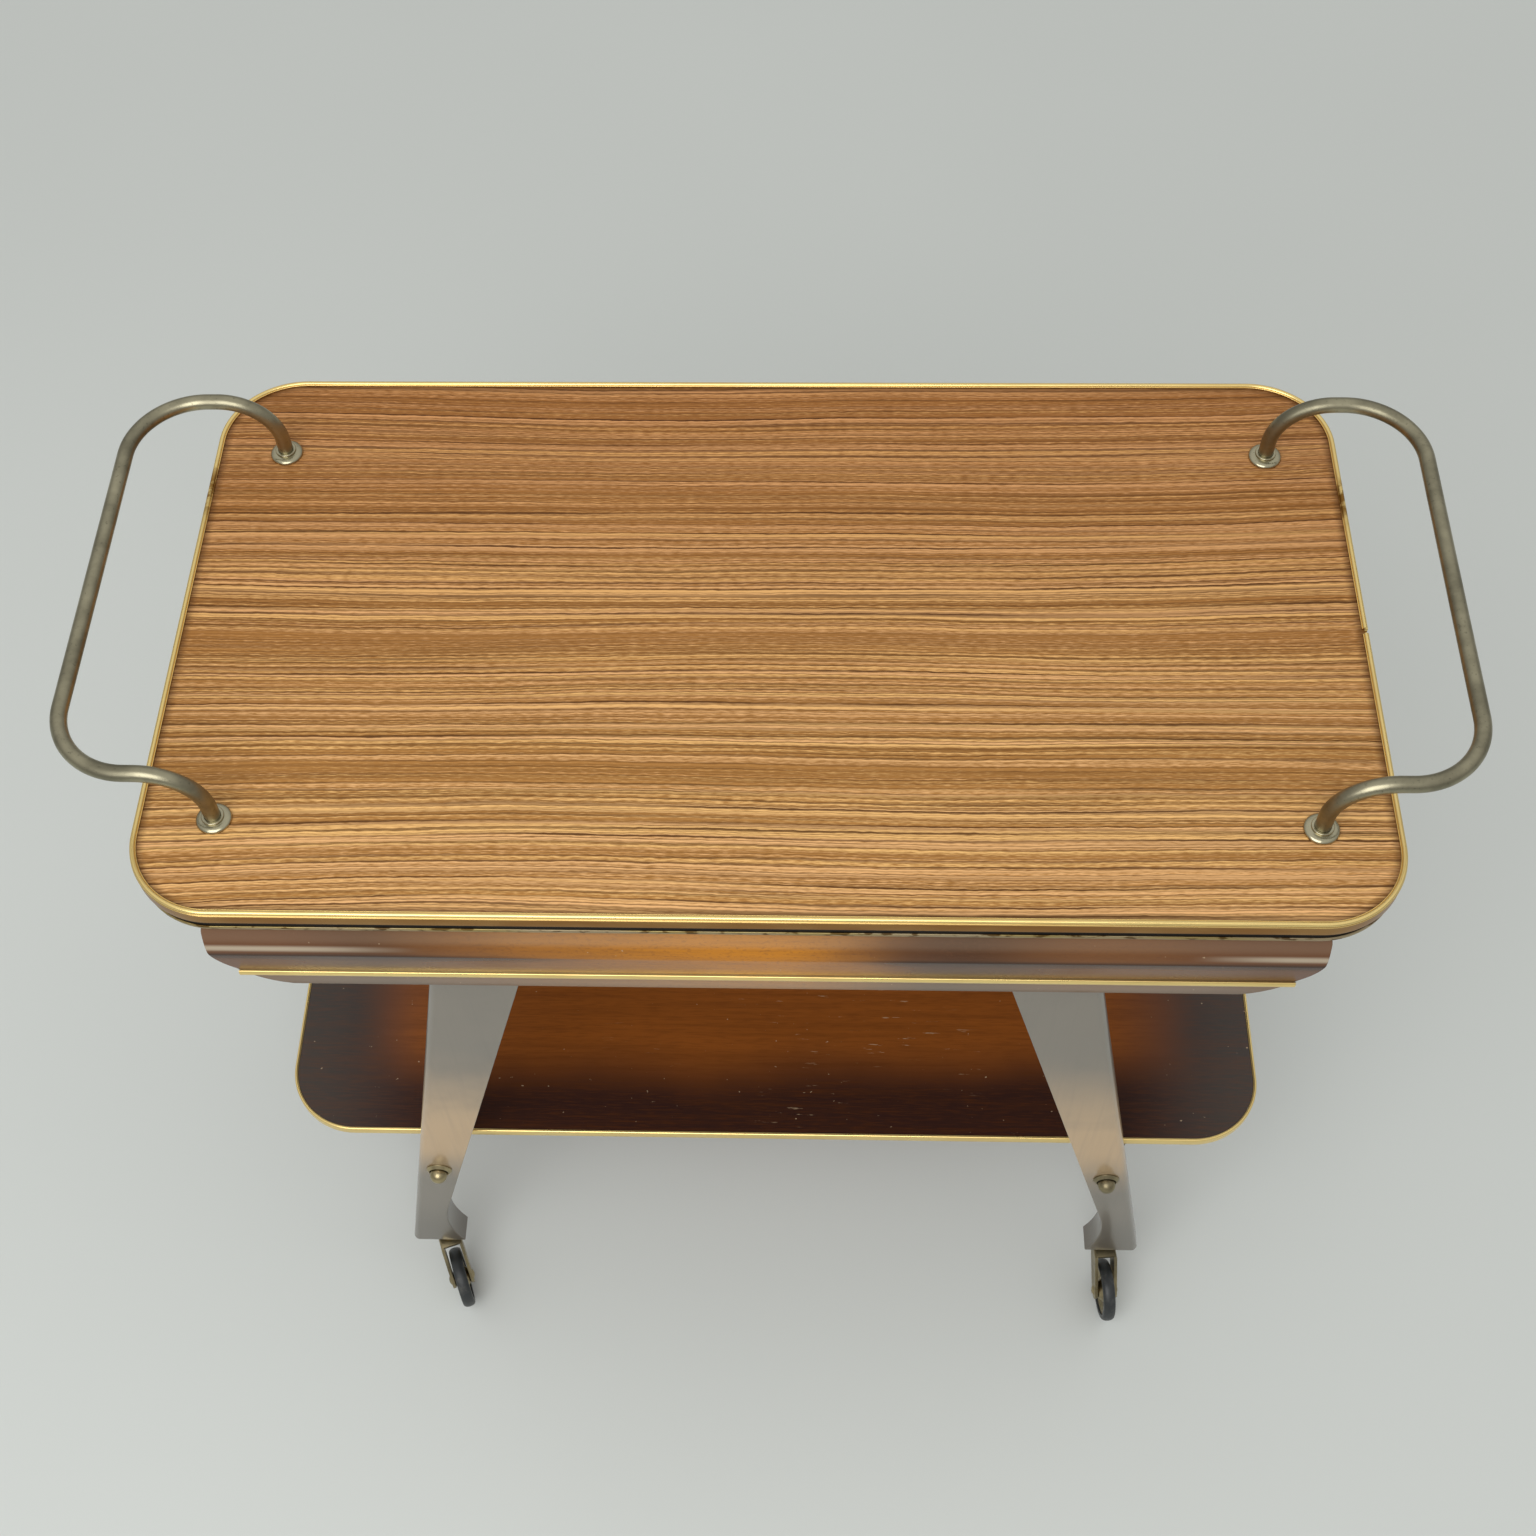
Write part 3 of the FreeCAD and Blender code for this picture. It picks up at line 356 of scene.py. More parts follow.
class Nodes:
    """Short calls for the shader nodes that the finishes and the sky share"""

    def __init__(self, tree):
        self.nodes = tree.nodes
        self.links = tree.links

    def put(self, socket, value):
        """Links a socket to an output, or sets it."""
        if isinstance(value, bpy.types.NodeSocket):
            self.links.new(value, socket)
        elif socket.type == "RGBA":
            socket.default_value = (*value[:3], 1.0)
        else:
            socket.default_value = value

    def fill(self, node, values):
        """Puts each value into the input of its name."""
        for name, value in values.items():
            self.put(node.inputs[name], value)

    def calc(self, operation, *values):
        """Result of a Math node."""
        node = self.nodes.new("ShaderNodeMath")
        node.operation = operation
        for socket, value in zip(node.inputs, values):
            self.put(socket, value)
        return node.outputs[0]

    def add(self, first, second):
        """Sum of two values."""
        return self.calc("ADD", first, second)

    def times(self, first, second):
        """Product of two values."""
        return self.calc("MULTIPLY", first, second)

    def most(self, first, second):
        """Larger of two values."""
        return self.calc("MAXIMUM", first, second)

    def apart(self, first, second):
        """Distance between two values."""
        return self.calc("ABSOLUTE", self.calc("SUBTRACT", first, second))

    def swing(self, value, size):
        """A noise about 0: the value less a half, times twice the size."""
        return self.calc("MULTIPLY_ADD", value, 2 * size, -size)

    def axes(self, vector):
        """X, y and z of a vector."""
        node = self.nodes.new("ShaderNodeSeparateXYZ")
        self.put(node.inputs[0], vector)
        return node.outputs

    def fade(self, value, low, high, start=0.0, end=1.0):
        """Smooth step from start at low to end at high."""
        node = self.nodes.new("ShaderNodeMapRange")
        node.interpolation_type = "SMOOTHSTEP"
        self.fill(node, {"Value": value, "From Min": low, "From Max": high, "To Min": start, "To Max": end})
        return node.outputs[0]

    def mix(self, share, first, second):
        """The first colour where the share is 0, the second where it is 1."""
        node = self.nodes.new("ShaderNodeMix")
        node.data_type = "RGBA"
        self.put(node.inputs["Factor"], share)
        self.put(node.inputs[MIX_FIRST], first)
        self.put(node.inputs[MIX_SECOND], second)
        return node.outputs[MIX_RESULT]


class Finish(Nodes):
    """A node material on Object coordinates"""

    def __init__(self, name, **sockets):
        self.material = bpy.data.materials.new(name)
        self.material.use_nodes = True
        super().__init__(self.material.node_tree)
        self.shader = self.nodes["Principled BSDF"]
        self.point = self.nodes.new("ShaderNodeTexCoord").outputs["Object"]
        self.x, self.y, self.z = self.axes(self.point)
        for socket, value in sockets.items():
            self.set(socket.replace("_", " ").title().replace("Ior", "IOR"), value)

    def set(self, socket, value):
        """Links or sets a socket of the shader."""
        self.put(self.shader.inputs[socket], value)

    def joined(self, x, y):
        """The vector of x and y at height 0."""
        node = self.nodes.new("ShaderNodeCombineXYZ")
        self.put(node.inputs[0], x)
        self.put(node.inputs[1], y)
        return node.outputs[0]

    def noise(self, scale, vector=None, detail=2.0, roughness=0.5, offset=(0.0, 0.0, 0.0)):
        """Noise between 0 and 1; scale is features for each metre along x, y and z, or one number for all
        three."""
        place = self.nodes.new("ShaderNodeMapping")
        self.put(place.inputs["Vector"], vector or self.point)
        place.inputs["Scale"].default_value = scale if isinstance(scale, tuple) else (scale, scale, scale)
        place.inputs["Location"].default_value = offset
        node = self.nodes.new("ShaderNodeTexNoise")
        self.fill(node, {"Vector": place.outputs[0], "Scale": 1.0, "Detail": detail,
                         "Roughness": roughness})
        return node.outputs["Fac"]

    def scatter(self, value):
        """A fixed random number between 0 and 1 for each whole number."""
        node = self.nodes.new("ShaderNodeTexWhiteNoise")
        node.noise_dimensions = "1D"
        self.put(node.inputs["W"], self.calc("FLOOR", value))
        return node.outputs["Value"]

    def vector(self, operation, first, second=None):
        """Result of a Vector Math node."""
        node = self.nodes.new("ShaderNodeVectorMath")
        node.operation = operation
        self.put(node.inputs[0], first)
        if second is not None:
            self.put(node.inputs[1], second)
        return node.outputs["Value" if operation in ("LENGTH", "DISTANCE") else "Vector"]

    def inset(self, half_length, half_width, radius):
        """Distance to a round-cornered plate's edge, below 0 inside: how far the point's place without its
        sign is past the corner's centre, less the radius. The centre is above the cart, so that height adds
        nothing."""
        above = 10.0
        centre = (half_length - radius, half_width - radius, above)
        past = self.vector("SUBTRACT", self.vector("ABSOLUTE", self.point), centre)
        past = self.vector("MAXIMUM", past, (0.0, 0.0, 0.0))
        return self.calc("SUBTRACT", self.vector("LENGTH", past), radius)

    def spot(self, place, radius):
        """1 at a place, falling to 0 at a radius from it."""
        return self.fade(self.vector("DISTANCE", self.point, place), radius, 0.2 * radius)

    def bump(self, height, distance):
        """Raises the surface by a height times a distance in metres."""
        node = self.nodes.new("ShaderNodeBump")
        self.fill(node, {"Strength": 1.0, "Distance": distance, "Height": height})
        self.set("Normal", node.outputs[0])


def tint(value, factor):
    """A colour times a factor."""
    return tuple(factor * part for part in value)


def laminate_finish(colours, high, corner):
    """Printed straight grain: wavering lines along x of their own darkness, with bands of two tones between
    them, painted shade that deepens the print towards the back, and painted shade along the trim's lip."""
    f = Finish("laminate", specular_ior_level=0.14)
    slant = -0.012
    shade_start_y, shade_full_y = -0.19, 0.30
    lip_shade_start, lip_shade_end = -0.0075, -0.0012
    drift = f.swing(f.noise((1.7, 5.0, 1.0), detail=1.0), 0.018)
    waver = f.swing(f.noise((14.0, 60.0, 1.0), detail=2.0), 0.0014)
    ragged = f.swing(f.noise((130.0, 420.0, 1.0), detail=1.0), 0.0006)
    lane = f.add(f.add(f.calc("MULTIPLY_ADD", f.x, slant, f.y), drift), f.add(waver, ragged))
    grain = f.joined(f.x, lane)

    def lines(number, spread, width, offset):
        """Lines at a number for each metre: their darkness, and the tone of the bands between them."""
        shift = f.noise((1.6, number / 2.8, 1.0), grain, detail=1.0, offset=offset)
        count = f.calc("MULTIPLY_ADD", lane, number, f.swing(shift, spread))
        thin = f.fade(f.apart(f.calc("FRACT", count), 0.5), 0.3 * width, width, 1.0, 0.0)
        strength = f.fade(f.scatter(count), 0.0, 0.9, 0.35, 1.0)
        along = f.fade(f.noise((5.0, number / 2.0, 1.0), grain, offset=offset), 0.32, 0.56, 0.50, 1.0)
        return f.times(f.times(thin, strength), along), f.scatter(f.add(count, 0.5))

    bold, bold_tone = lines(205.0, 0.9, 0.19, (0.0, 0.0, 0.0))
    slim, slim_tone = lines(330.0, 0.9, 0.21, (2.0, 6.0, 0.0))
    fine, fine_tone = lines(560.0, 0.8, 0.30, (5.0, 3.0, 0.0))
    streak = f.noise((9.0, 1100.0, 1.0), grain, detail=3.0, roughness=0.6)
    fibre = f.noise((160.0, 1500.0, 1.0), grain, detail=2.0)
    cloud = f.noise((1.1, 15.0, 1.0), grain, detail=2.0, offset=(2.0, 8.0, 0.0))
    tone = f.add(f.times(bold_tone, 0.34), f.add(f.times(fine_tone, 0.22), f.times(streak, 0.44)))
    tone = f.add(tone, f.add(f.swing(cloud, 0.12), f.swing(fibre, 0.45)))
    pale = f.mix(f.fade(slim_tone, 0.2, 0.8), colours.laminate, colours.laminate_glow)
    ground = f.mix(f.fade(tone, 0.26, 0.70), colours.laminate_band, pale)
    marks = f.most(f.most(f.times(bold, 0.95), f.times(slim, 0.75)), f.times(fine, 0.65))
    # Painted shade: the print darkens and reddens towards the back
    back_shade = f.mix(f.fade(f.y, shade_start_y, shade_full_y), (1.0, 1.0, 1.0), colours.laminate_back_shade)
    shaded_print = f.vector("MULTIPLY", f.mix(marks, ground, colours.laminate_line), back_shade)
    # Painted shade: a dark line on the laminate along the trim's lip, where the lip shades it
    lip_shade = f.fade(f.inset(high[0], high[1], corner), lip_shade_start, lip_shade_end, 0.0, 0.62)
    f.set("Base Color", f.mix(lip_shade, shaded_print, tint(colours.laminate_line, 0.7)))
    f.set("Roughness", f.fade(streak, 0.25, 0.75, 0.42, 0.34))
    f.bump(f.calc("SUBTRACT", streak, f.times(marks, 0.5)), distance=0.00004)
    return f.material


def gold_finish(colours, low, high):
    """Polished gold trim: soft clouds, dulled to bronze in the groove and at two worn spots, and darkened to
    bronze down the face of the top's trim, partly tarnish and partly painted dark reflection."""
    f = Finish("gold_trim", metallic=1.0)
    left_spot, left_radius = (-0.372, 0.111, high), 0.030
    right_spot, right_radius = (0.371, 0.106, high), 0.026
    groove_level = high + 0.0003
    face_top, face_full, base_soft = high - 0.0006, high - 0.0014, 0.0004
    cloud = f.noise((20.0, 20.0, 60.0), detail=2.0)
    # The face's bronze is partly tarnish and partly painted dark reflection of the shade under the cart
    face = f.times(f.fade(f.z, face_top, face_full), f.fade(f.z, low - base_soft, low + base_soft))
    face_tarnish_and_shade = f.times(face, f.fade(cloud, 0.25, 0.70, 0.90, 1.0))
    groove = f.fade(f.apart(f.z, groove_level), 0.0005, 0.0002, 0.0, 0.75)
    worn = f.most(f.spot(left_spot, left_radius), f.spot(right_spot, right_radius))
    ragged = f.times(worn, f.fade(f.noise(160.0, detail=3.0), 0.36, 0.56))
    soft = f.fade(cloud, 0.45, 0.80, 0.0, 0.15)
    darkened = f.most(f.most(face_tarnish_and_shade, groove), f.most(soft, f.times(ragged, 0.9)))
    f.set("Base Color", f.mix(darkened, colours.gold, colours.bronze))
    f.set("Roughness", f.fade(cloud, 0.3, 0.7, 0.25, 0.33))
    return f.material


def worn_strip_finish(colours):
    """Gold strip under the top, rubbed pale in streaks and chipped dark."""
    f = Finish("worn_gold_strip", metallic=1.0)
    rub = f.fade(f.noise((14.0, 14.0, 300.0), detail=3.0), 0.40, 0.62)
    chip = f.fade(f.noise((110.0, 110.0, 400.0), detail=3.0, offset=(4.0, 1.0, 2.0)), 0.52, 0.62, 0.0, 0.8)
    metal = f.mix(rub, tint(colours.gold, 0.40), colours.worn)
    f.set("Base Color", f.mix(chip, metal, tint(colours.bronze, 0.30)))
    f.set("Roughness", f.fade(rub, 0.0, 1.0, 0.34, 0.48))
    return f.material


def brass_finish(name, base, patina, polish, rough=0.42):
    """Aged brass: soft clouds of patina, small dark specks and brighter rubbed places."""
    f = Finish(name, metallic=1.0)
    cloud = f.noise(34.0, detail=4.0, roughness=0.6)
    speck = f.fade(f.noise(520.0), 0.62, 0.76, 0.0, 0.5)
    tone = f.mix(f.fade(cloud, 0.30, 0.66), patina, base)
    tone = f.mix(f.fade(cloud, 0.58, 0.80, 0.0, polish), tone, tint(base, 1.45))
    f.set("Base Color", f.mix(speck, tone, tint(patina, 0.5)))
    f.set("Roughness", f.fade(cloud, 0.3, 0.7, rough, 0.7 * rough))
    f.bump(f.noise(900.0, detail=3.0), distance=0.00003)
    return f.material


def apron_finish(colours, crest, strip, top):
    """Shaded lacquer over a fine wood grain: amber in the middle that fades to dark brown, sooner on the
    right and below the crest, with a sooty place on each side. It has a painted sheen up the nose, painted
    shade along the crest, a painted highlight at the nose's ends, a painted grey reflection under the strip,
    a darker line over the strip and a painted shadow under the top."""
    f = Finish("apron_lacquer", roughness=0.25)
    amber_left, amber_full, amber_right = -0.27, 0.01, 0.105
    ember_place, right_soot, left_soot = 0.20, 0.120, -0.235
    # Where the nose's ends begin and are full: the painted highlight and the band's lower shine follow them
    left_end, left_end_full, right_end, right_end_full = -0.20, -0.29, 0.25, 0.31
    crest_soft, strip_soft = 0.0006, 0.0005
    highlight_level, crest_shade_top, crest_shade_low = crest + 0.0075, crest + 0.004, crest - 0.011
    sheen_low, sheen_high = crest + 0.010, crest + 0.016
    dull_low, glossy_high = crest + 0.010, crest + 0.020
    strip_line_low, strip_line_full, strip_line_top = strip + 0.001, strip + 0.0035, strip + 0.0055
    shadow_low, shadow_full = top - 0.006, top - 0.002
    cloud = f.noise((9.0, 9.0, 22.0), detail=3.0)
    band = f.fade(f.z, crest + crest_soft, crest - crest_soft)
    along = f.add(f.x, f.swing(cloud, 0.035))
    shifted = f.calc("MULTIPLY_ADD", band, -0.035, along)
    burst = f.times(f.fade(shifted, amber_left, amber_full), f.fade(along, amber_right, 0.0))
    ember = f.fade(f.apart(along, ember_place), 0.10, 0.0, 0.0, 0.10)
    soot = f.most(f.fade(f.apart(along, right_soot), 0.075, 0.0, 0.0, 0.66),
                  f.fade(f.apart(along, left_soot), 0.06, 0.0, 0.0, 0.50))
    grain = f.noise((30.0, 30.0, 420.0), detail=3.0, roughness=0.6)
    pores = f.noise((380.0, 380.0, 700.0), detail=2.0)
    tone = f.mix(soot, colours.shade, tint(colours.shade, 0.35))
    tone = f.mix(f.most(burst, ember), tone, colours.amber)
    tone = f.mix(f.fade(grain, 0.40, 0.75, 0.0, 0.25), tone, tint(colours.shade, 0.9))
    tone = f.mix(f.fade(pores, 0.50, 0.72, 0.0, 0.30), tone, tint(colours.shade, 0.9))
    # Painted reflection: the lacquer under the strip is mixed towards grey, as the floor's reflection
    below = f.fade(f.z, strip + strip_soft, strip - strip_soft, 0.0, 0.42)
    tone = f.mix(below, tone, tint(colours.leg, 2.0))
    # Painted sheen: the upper nose is mixed towards the pale scuff colour as reflected light, more over the
    # amber
    nose_sheen = f.times(f.fade(f.z, sheen_low, sheen_high), f.fade(burst, 0.0, 0.6, 0.10, 0.24))
    tone = f.mix(nose_sheen, tone, colours.scuff)
    # Painted shade: darker about the crest where the nose turns under, strongest where the lacquer is dark
    # brown
    crest_shade = f.times(f.fade(f.z, crest_shade_top, crest), f.fade(f.z, crest_shade_low, crest))
    tone = f.mix(f.times(crest_shade, f.fade(burst, 0.0, 0.6, 0.85, 0.0)), tone, tint(colours.shade, 0.20))
    # Painted highlight: a pale streak along the nose above the crest towards both ends
    crown = f.fade(f.apart(f.z, highlight_level), 0.004, 0.0005)
    ends = f.most(f.fade(along, left_end, left_end_full), f.fade(along, right_end, right_end_full))
    tone = f.mix(f.times(crown, f.times(ends, 0.8)), tone, tint(colours.leg, 3.2))
    chip = f.fade(f.noise(240.0, detail=2.0, offset=(2.0, 2.0, 5.0)), 0.75, 0.79, 0.0, 0.8)
    tone = f.mix(chip, tone, colours.scuff)
    # Darker just over the strip, and painted shadow at the nose's top where the top's strip shades it
    strip_line_and_top_shadow = f.times(f.fade(f.z, strip_line_top, strip_line_full), f.fade(f.z, strip, strip_line_low))
    strip_line_and_top_shadow = f.most(f.times(strip_line_and_top_shadow, 0.8), f.fade(f.z, shadow_low, shadow_full, 0.0, 0.75))
    f.set("Base Color", f.mix(strip_line_and_top_shadow, tone, tint(colours.shade, 0.30)))
    shine = f.fade(f.z, dull_low, glossy_high, 0.12, 0.60)
    band_shine = f.times(band, f.fade(f.calc("ABSOLUTE", f.x), right_end, right_end_full, 0.24, 0.10))
    f.set("Specular IOR Level", f.most(band_shine, f.times(shine, f.calc("SUBTRACT", 1.0, band))))
    f.bump(f.noise(170.0), distance=0.00003)
    return f.material


def leg_finish(colours):
    """Shaded grey-brown lacquer with a lighter band above the bolts and a dark toe."""
    f = Finish("leg_lacquer", coat_weight=0.8, coat_roughness=0.16, roughness=0.40)
    band_top, band_middle, band_low, band_end = 0.44, 0.29, 0.265, 0.19
    toe_start, toe_dark = 0.165, 0.085
    cloud = f.noise(14.0, detail=3.0)
    level = f.add(f.z, f.swing(cloud, 0.020))
    band = f.times(f.fade(level, band_top, band_middle), f.fade(level, band_end, band_low))
    tone = f.mix(band, colours.leg, colours.leg_band)
    tone = f.mix(f.fade(level, toe_start, toe_dark, 0.0, 0.55), tone, tint(colours.leg, 0.45))
    tone = f.mix(f.fade(cloud, 0.50, 0.72, 0.0, 0.30), tone, tint(colours.leg, 0.75))
    grain = f.noise((260.0, 260.0, 9.0), detail=3.0, roughness=0.6)
    f.set("Base Color", f.mix(f.fade(grain, 0.45, 0.78, 0.0, 0.12), tone, tint(colours.leg, 0.6)))
    f.bump(f.noise((150.0, 150.0, 60.0)), distance=0.00002)
    return f.material


def shelf_finish(colours):
    """Shaded lacquer: warm brown in the middle, near black towards the edge, with a painted grey reflection
    at the ends, and pale scuffs and pin chips."""
    f = Finish("shelf_lacquer", roughness=0.26)
    dark_x, warm_x = 0.335, 0.255
    dark_y, warm_y = 0.148, 0.092
    sheen_start, sheen_full = 0.27, 0.36
    scuff_reach, scuff_full = 0.22, 0.14
    cloud = f.swing(f.noise((6.0, 8.0, 1.0), detail=3.0), 0.022)
    reach_x = f.add(f.calc("ABSOLUTE", f.x), cloud)
    reach_y = f.add(f.calc("ABSOLUTE", f.y), cloud)
    middle = f.times(f.fade(reach_x, dark_x, warm_x), f.fade(reach_y, dark_y, warm_y))
    grain = f.noise((5.0, 230.0, 1.0), detail=3.0, roughness=0.62)
    # Painted reflection: the rim is mixed towards grey at the ends
    grey = f.fade(reach_x, sheen_start, sheen_full, 0.0, 0.65)
    rim = f.mix(grey, colours.shelf_shade, tint(colours.leg, 0.24))
    tone = f.mix(middle, rim, colours.shelf)
    tone = f.mix(f.fade(grain, 0.40, 0.72, 0.0, 0.30), tone, tint(colours.shelf, 0.32))
    fibre = f.noise((70.0, 900.0, 1.0), detail=2.0)
    tone = f.mix(f.fade(fibre, 0.45, 0.70, 0.0, 0.30), tone, tint(colours.shelf, 0.40))
    cluster = f.fade(f.noise((7.0, 11.0, 1.0), offset=(1.0, 4.0, 0.0)), 0.50, 0.64, 0.0, 0.8)
    scuff = f.fade(f.noise((45.0, 420.0, 1.0), detail=4.0, roughness=0.62), 0.64, 0.70)
    scuff = f.times(f.times(scuff, cluster), f.fade(reach_x, scuff_reach, scuff_full))
    chip = f.fade(f.noise((250.0, 330.0, 1.0), offset=(6.0, 3.0, 0.0)), 0.74, 0.79)
    f.set("Base Color", f.mix(f.most(scuff, chip), tone, colours.scuff))
    f.bump(f.noise((120.0, 120.0, 1.0), detail=3.0), distance=0.00003)
    return f.material


def board_finish(colours, underside):
    """Dark stained wood, matte, with grain along the cart; the top's edge, over its underside, is painted
    black as the shadow in the gap under the trim.
    """
    f = Finish("stained_board", specular_ior_level=0.15)
    soft = 0.0005
    grain = f.noise((6.0, 210.0, 210.0), detail=4.0, roughness=0.62)
    tone = f.mix(f.fade(grain, 0.3, 0.7), tint(colours.stain, 0.55), tint(colours.stain, 1.5))
    # Painted shadow: the board is near black above its underside, for the gap under the trim
    f.set("Base Color", f.mix(f.fade(f.z, underside, underside + soft), tone, tint(colours.stain, 0.08)))
    f.set("Roughness", f.fade(grain, 0.3, 0.7, 0.66, 0.52))
    f.bump(grain, distance=0.0001)
    return f.material


def steel_finish(colours):
    """Plain zinc-plated steel with soft clouds."""
    f = Finish("steel", metallic=1.0)
    cloud = f.noise(160.0, detail=3.0)
    f.set("Base Color", f.mix(f.fade(cloud, 0.3, 0.7), colours.steel_dull, colours.steel))
    f.set("Roughness", f.fade(cloud, 0.3, 0.7, 0.42, 0.28))
    return f.material


def rubber_finish(colours):
    """Old black rubber: dusty grey clouds and fine pits."""
    f = Finish("rubber")
    dust = f.noise(130.0, detail=4.0, roughness=0.65)
    f.set("Base Color", f.mix(f.fade(dust, 0.50, 0.78, 0.0, 0.5), colours.rubber, colours.dust))
    f.set("Roughness", f.fade(dust, 0.3, 0.7, 0.34, 0.52))
    f.bump(f.noise(1400.0), distance=0.00004)
    return f.material


# Operators, one for each piece or group of like pieces

class BARCART_OT_top(bpy.types.Operator):
    """Finish the top board and its laminate"""
    bl_idname = "barcart.top"
    bl_label = "Top"

    def execute(self, context):
        colours = context.scene.barcart_colours
        edging = context.scene.barcart_edging
        finish = laminate_finish(colours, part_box("top_laminate")[1], edging.corner - edging.face)
        refinish(finish, "top_laminate")
        stained = board_finish(colours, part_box("top_board")[0][2])
        refinish(stained, "top_board", "left_top_bearer", "right_top_bearer", "left_shelf_bearer",
                 "right_shelf_bearer")
        return {"FINISHED"}


class BARCART_OT_trims(bpy.types.Operator):
    """Make the gold trims round the top and the shelf, and the strips across the aprons"""
    bl_idname = "barcart.trims"
    bl_label = "Trims"

    def execute(self, context):
        sizes = context.scene.barcart_edging
        colours = context.scene.barcart_colours
        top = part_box("top_laminate")[1][2]
        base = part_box("top_edge_trim")[0][2]
        gold = gold_finish(colours, base, top)
        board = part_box("top_board")[1]
        half = (board[0], board[1], sizes.corner - sizes.face)
        section = self.top_section(sizes, top, base)
        add_piece("top_edge_trim_gold", [carried(section, *plate_edge(*half, sizes.joint))], gold, "frame",
                  "gold_trim", "top_edge_trim")
        low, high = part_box("top_lower_strip")
        section = self.round_section(sizes.fit, sizes.strip_shoulder, sizes.strip_face, low[2], high[2])
        add_piece("top_lower_strip_gold", [carried(section, *plate_edge(*half, sizes.close_joint))],
                  worn_strip_finish(colours), "frame", "gold_trim", "top_lower_strip")
        low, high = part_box("lower_shelf")
        section = self.shelf_section(sizes, low[2], high[2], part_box("lower_shelf_trim")[1][2])
        path = plate_edge(high[0], high[1], sizes.shelf_corner - sizes.shelf_face, sizes.close_joint)
        add_piece("lower_shelf_trim_gold", [carried(section, *path)], gold, "frame", "gold_trim",
                  "lower_shelf_trim")
        strip = self.apron_strip(context.scene.barcart_aprons, *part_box("rear_apron_strip"))
        for end, sign in ENDS.items():
            add_piece(end + "_apron_gold_strip", [mirrored(strip, 1, sign)], gold, "frame", "gold_trim",
                      end + "_apron_strip")
        return {"FINISHED"}

    def top_section(self, sizes, top, base):
        """Fine inner bead, rounded crown, groove, fine outer bead and a slightly hollow face, as parts of
        circles and of an ellipse."""
        bead = sizes.bead
        inner = -sizes.overlap
        crown_low = top + sizes.crown
        crown_start = inner + 2 * bead
        crown_end = sizes.face - bead
        bead_middle = top - bead
        groove = sizes.face - sizes.groove
        hollow = sizes.face - sizes.groove / 2
        ease = sizes.ease
        return chain(
            [inner, top],
            arc(inner + bead, crown_low, bead, bead, 180, 10, 9),
            arc((crown_start + crown_end) / 2, crown_low, (crown_end - crown_start) / 2,
                sizes.lip - sizes.crown, 172, 0, 22),
            [groove, top + bead / 2],
            arc(sizes.face - bead, bead_middle, bead, bead, 90, -90, 9),
            [groove, bead_middle - 2 * bead],
            [sizes.face - bead / 2, bead_middle - 3 * bead],
            [hollow, (bead_middle + base) / 2],
            arc(sizes.face - bead / 2 - ease, base + ease, ease, ease, 0, -90, 7),
            [sizes.fit, base],
            [sizes.fit, top],
        )

    def round_section(self, fit, shoulder, face, low, high):
        """A square back and a front that is half an ellipse."""
        front = arc(shoulder, (low + high) / 2, face - shoulder, (high - low) / 2, -90, 90, 17)
        return chain([fit, low], front, [fit, high])

    def shelf_section(self, sizes, low, high, lip):
        """A square back and face under a lip that is half an ellipse."""
        inner = sizes.fit
        outer = sizes.shelf_face + sizes.fit
        round_top = arc((inner + outer) / 2, high, (outer - inner) / 2, lip - high, 0, 180, 15)
        foot = arc(outer - sizes.ease, low + sizes.ease, sizes.ease, sizes.ease, -90, 0, 6)
        return chain([inner, low], foot, round_top)

    def apron_strip(self, sizes, low, high):
        """The round section carried straight along the apron."""
        section = self.round_section(0.0, sizes.strip_shoulder, high[1] - low[1], low[2], high[2])
        points = np.array([[low[0], low[1], 0.0], [high[0], low[1], 0.0]])
        return carried(section, points, np.array([BACK, BACK]))


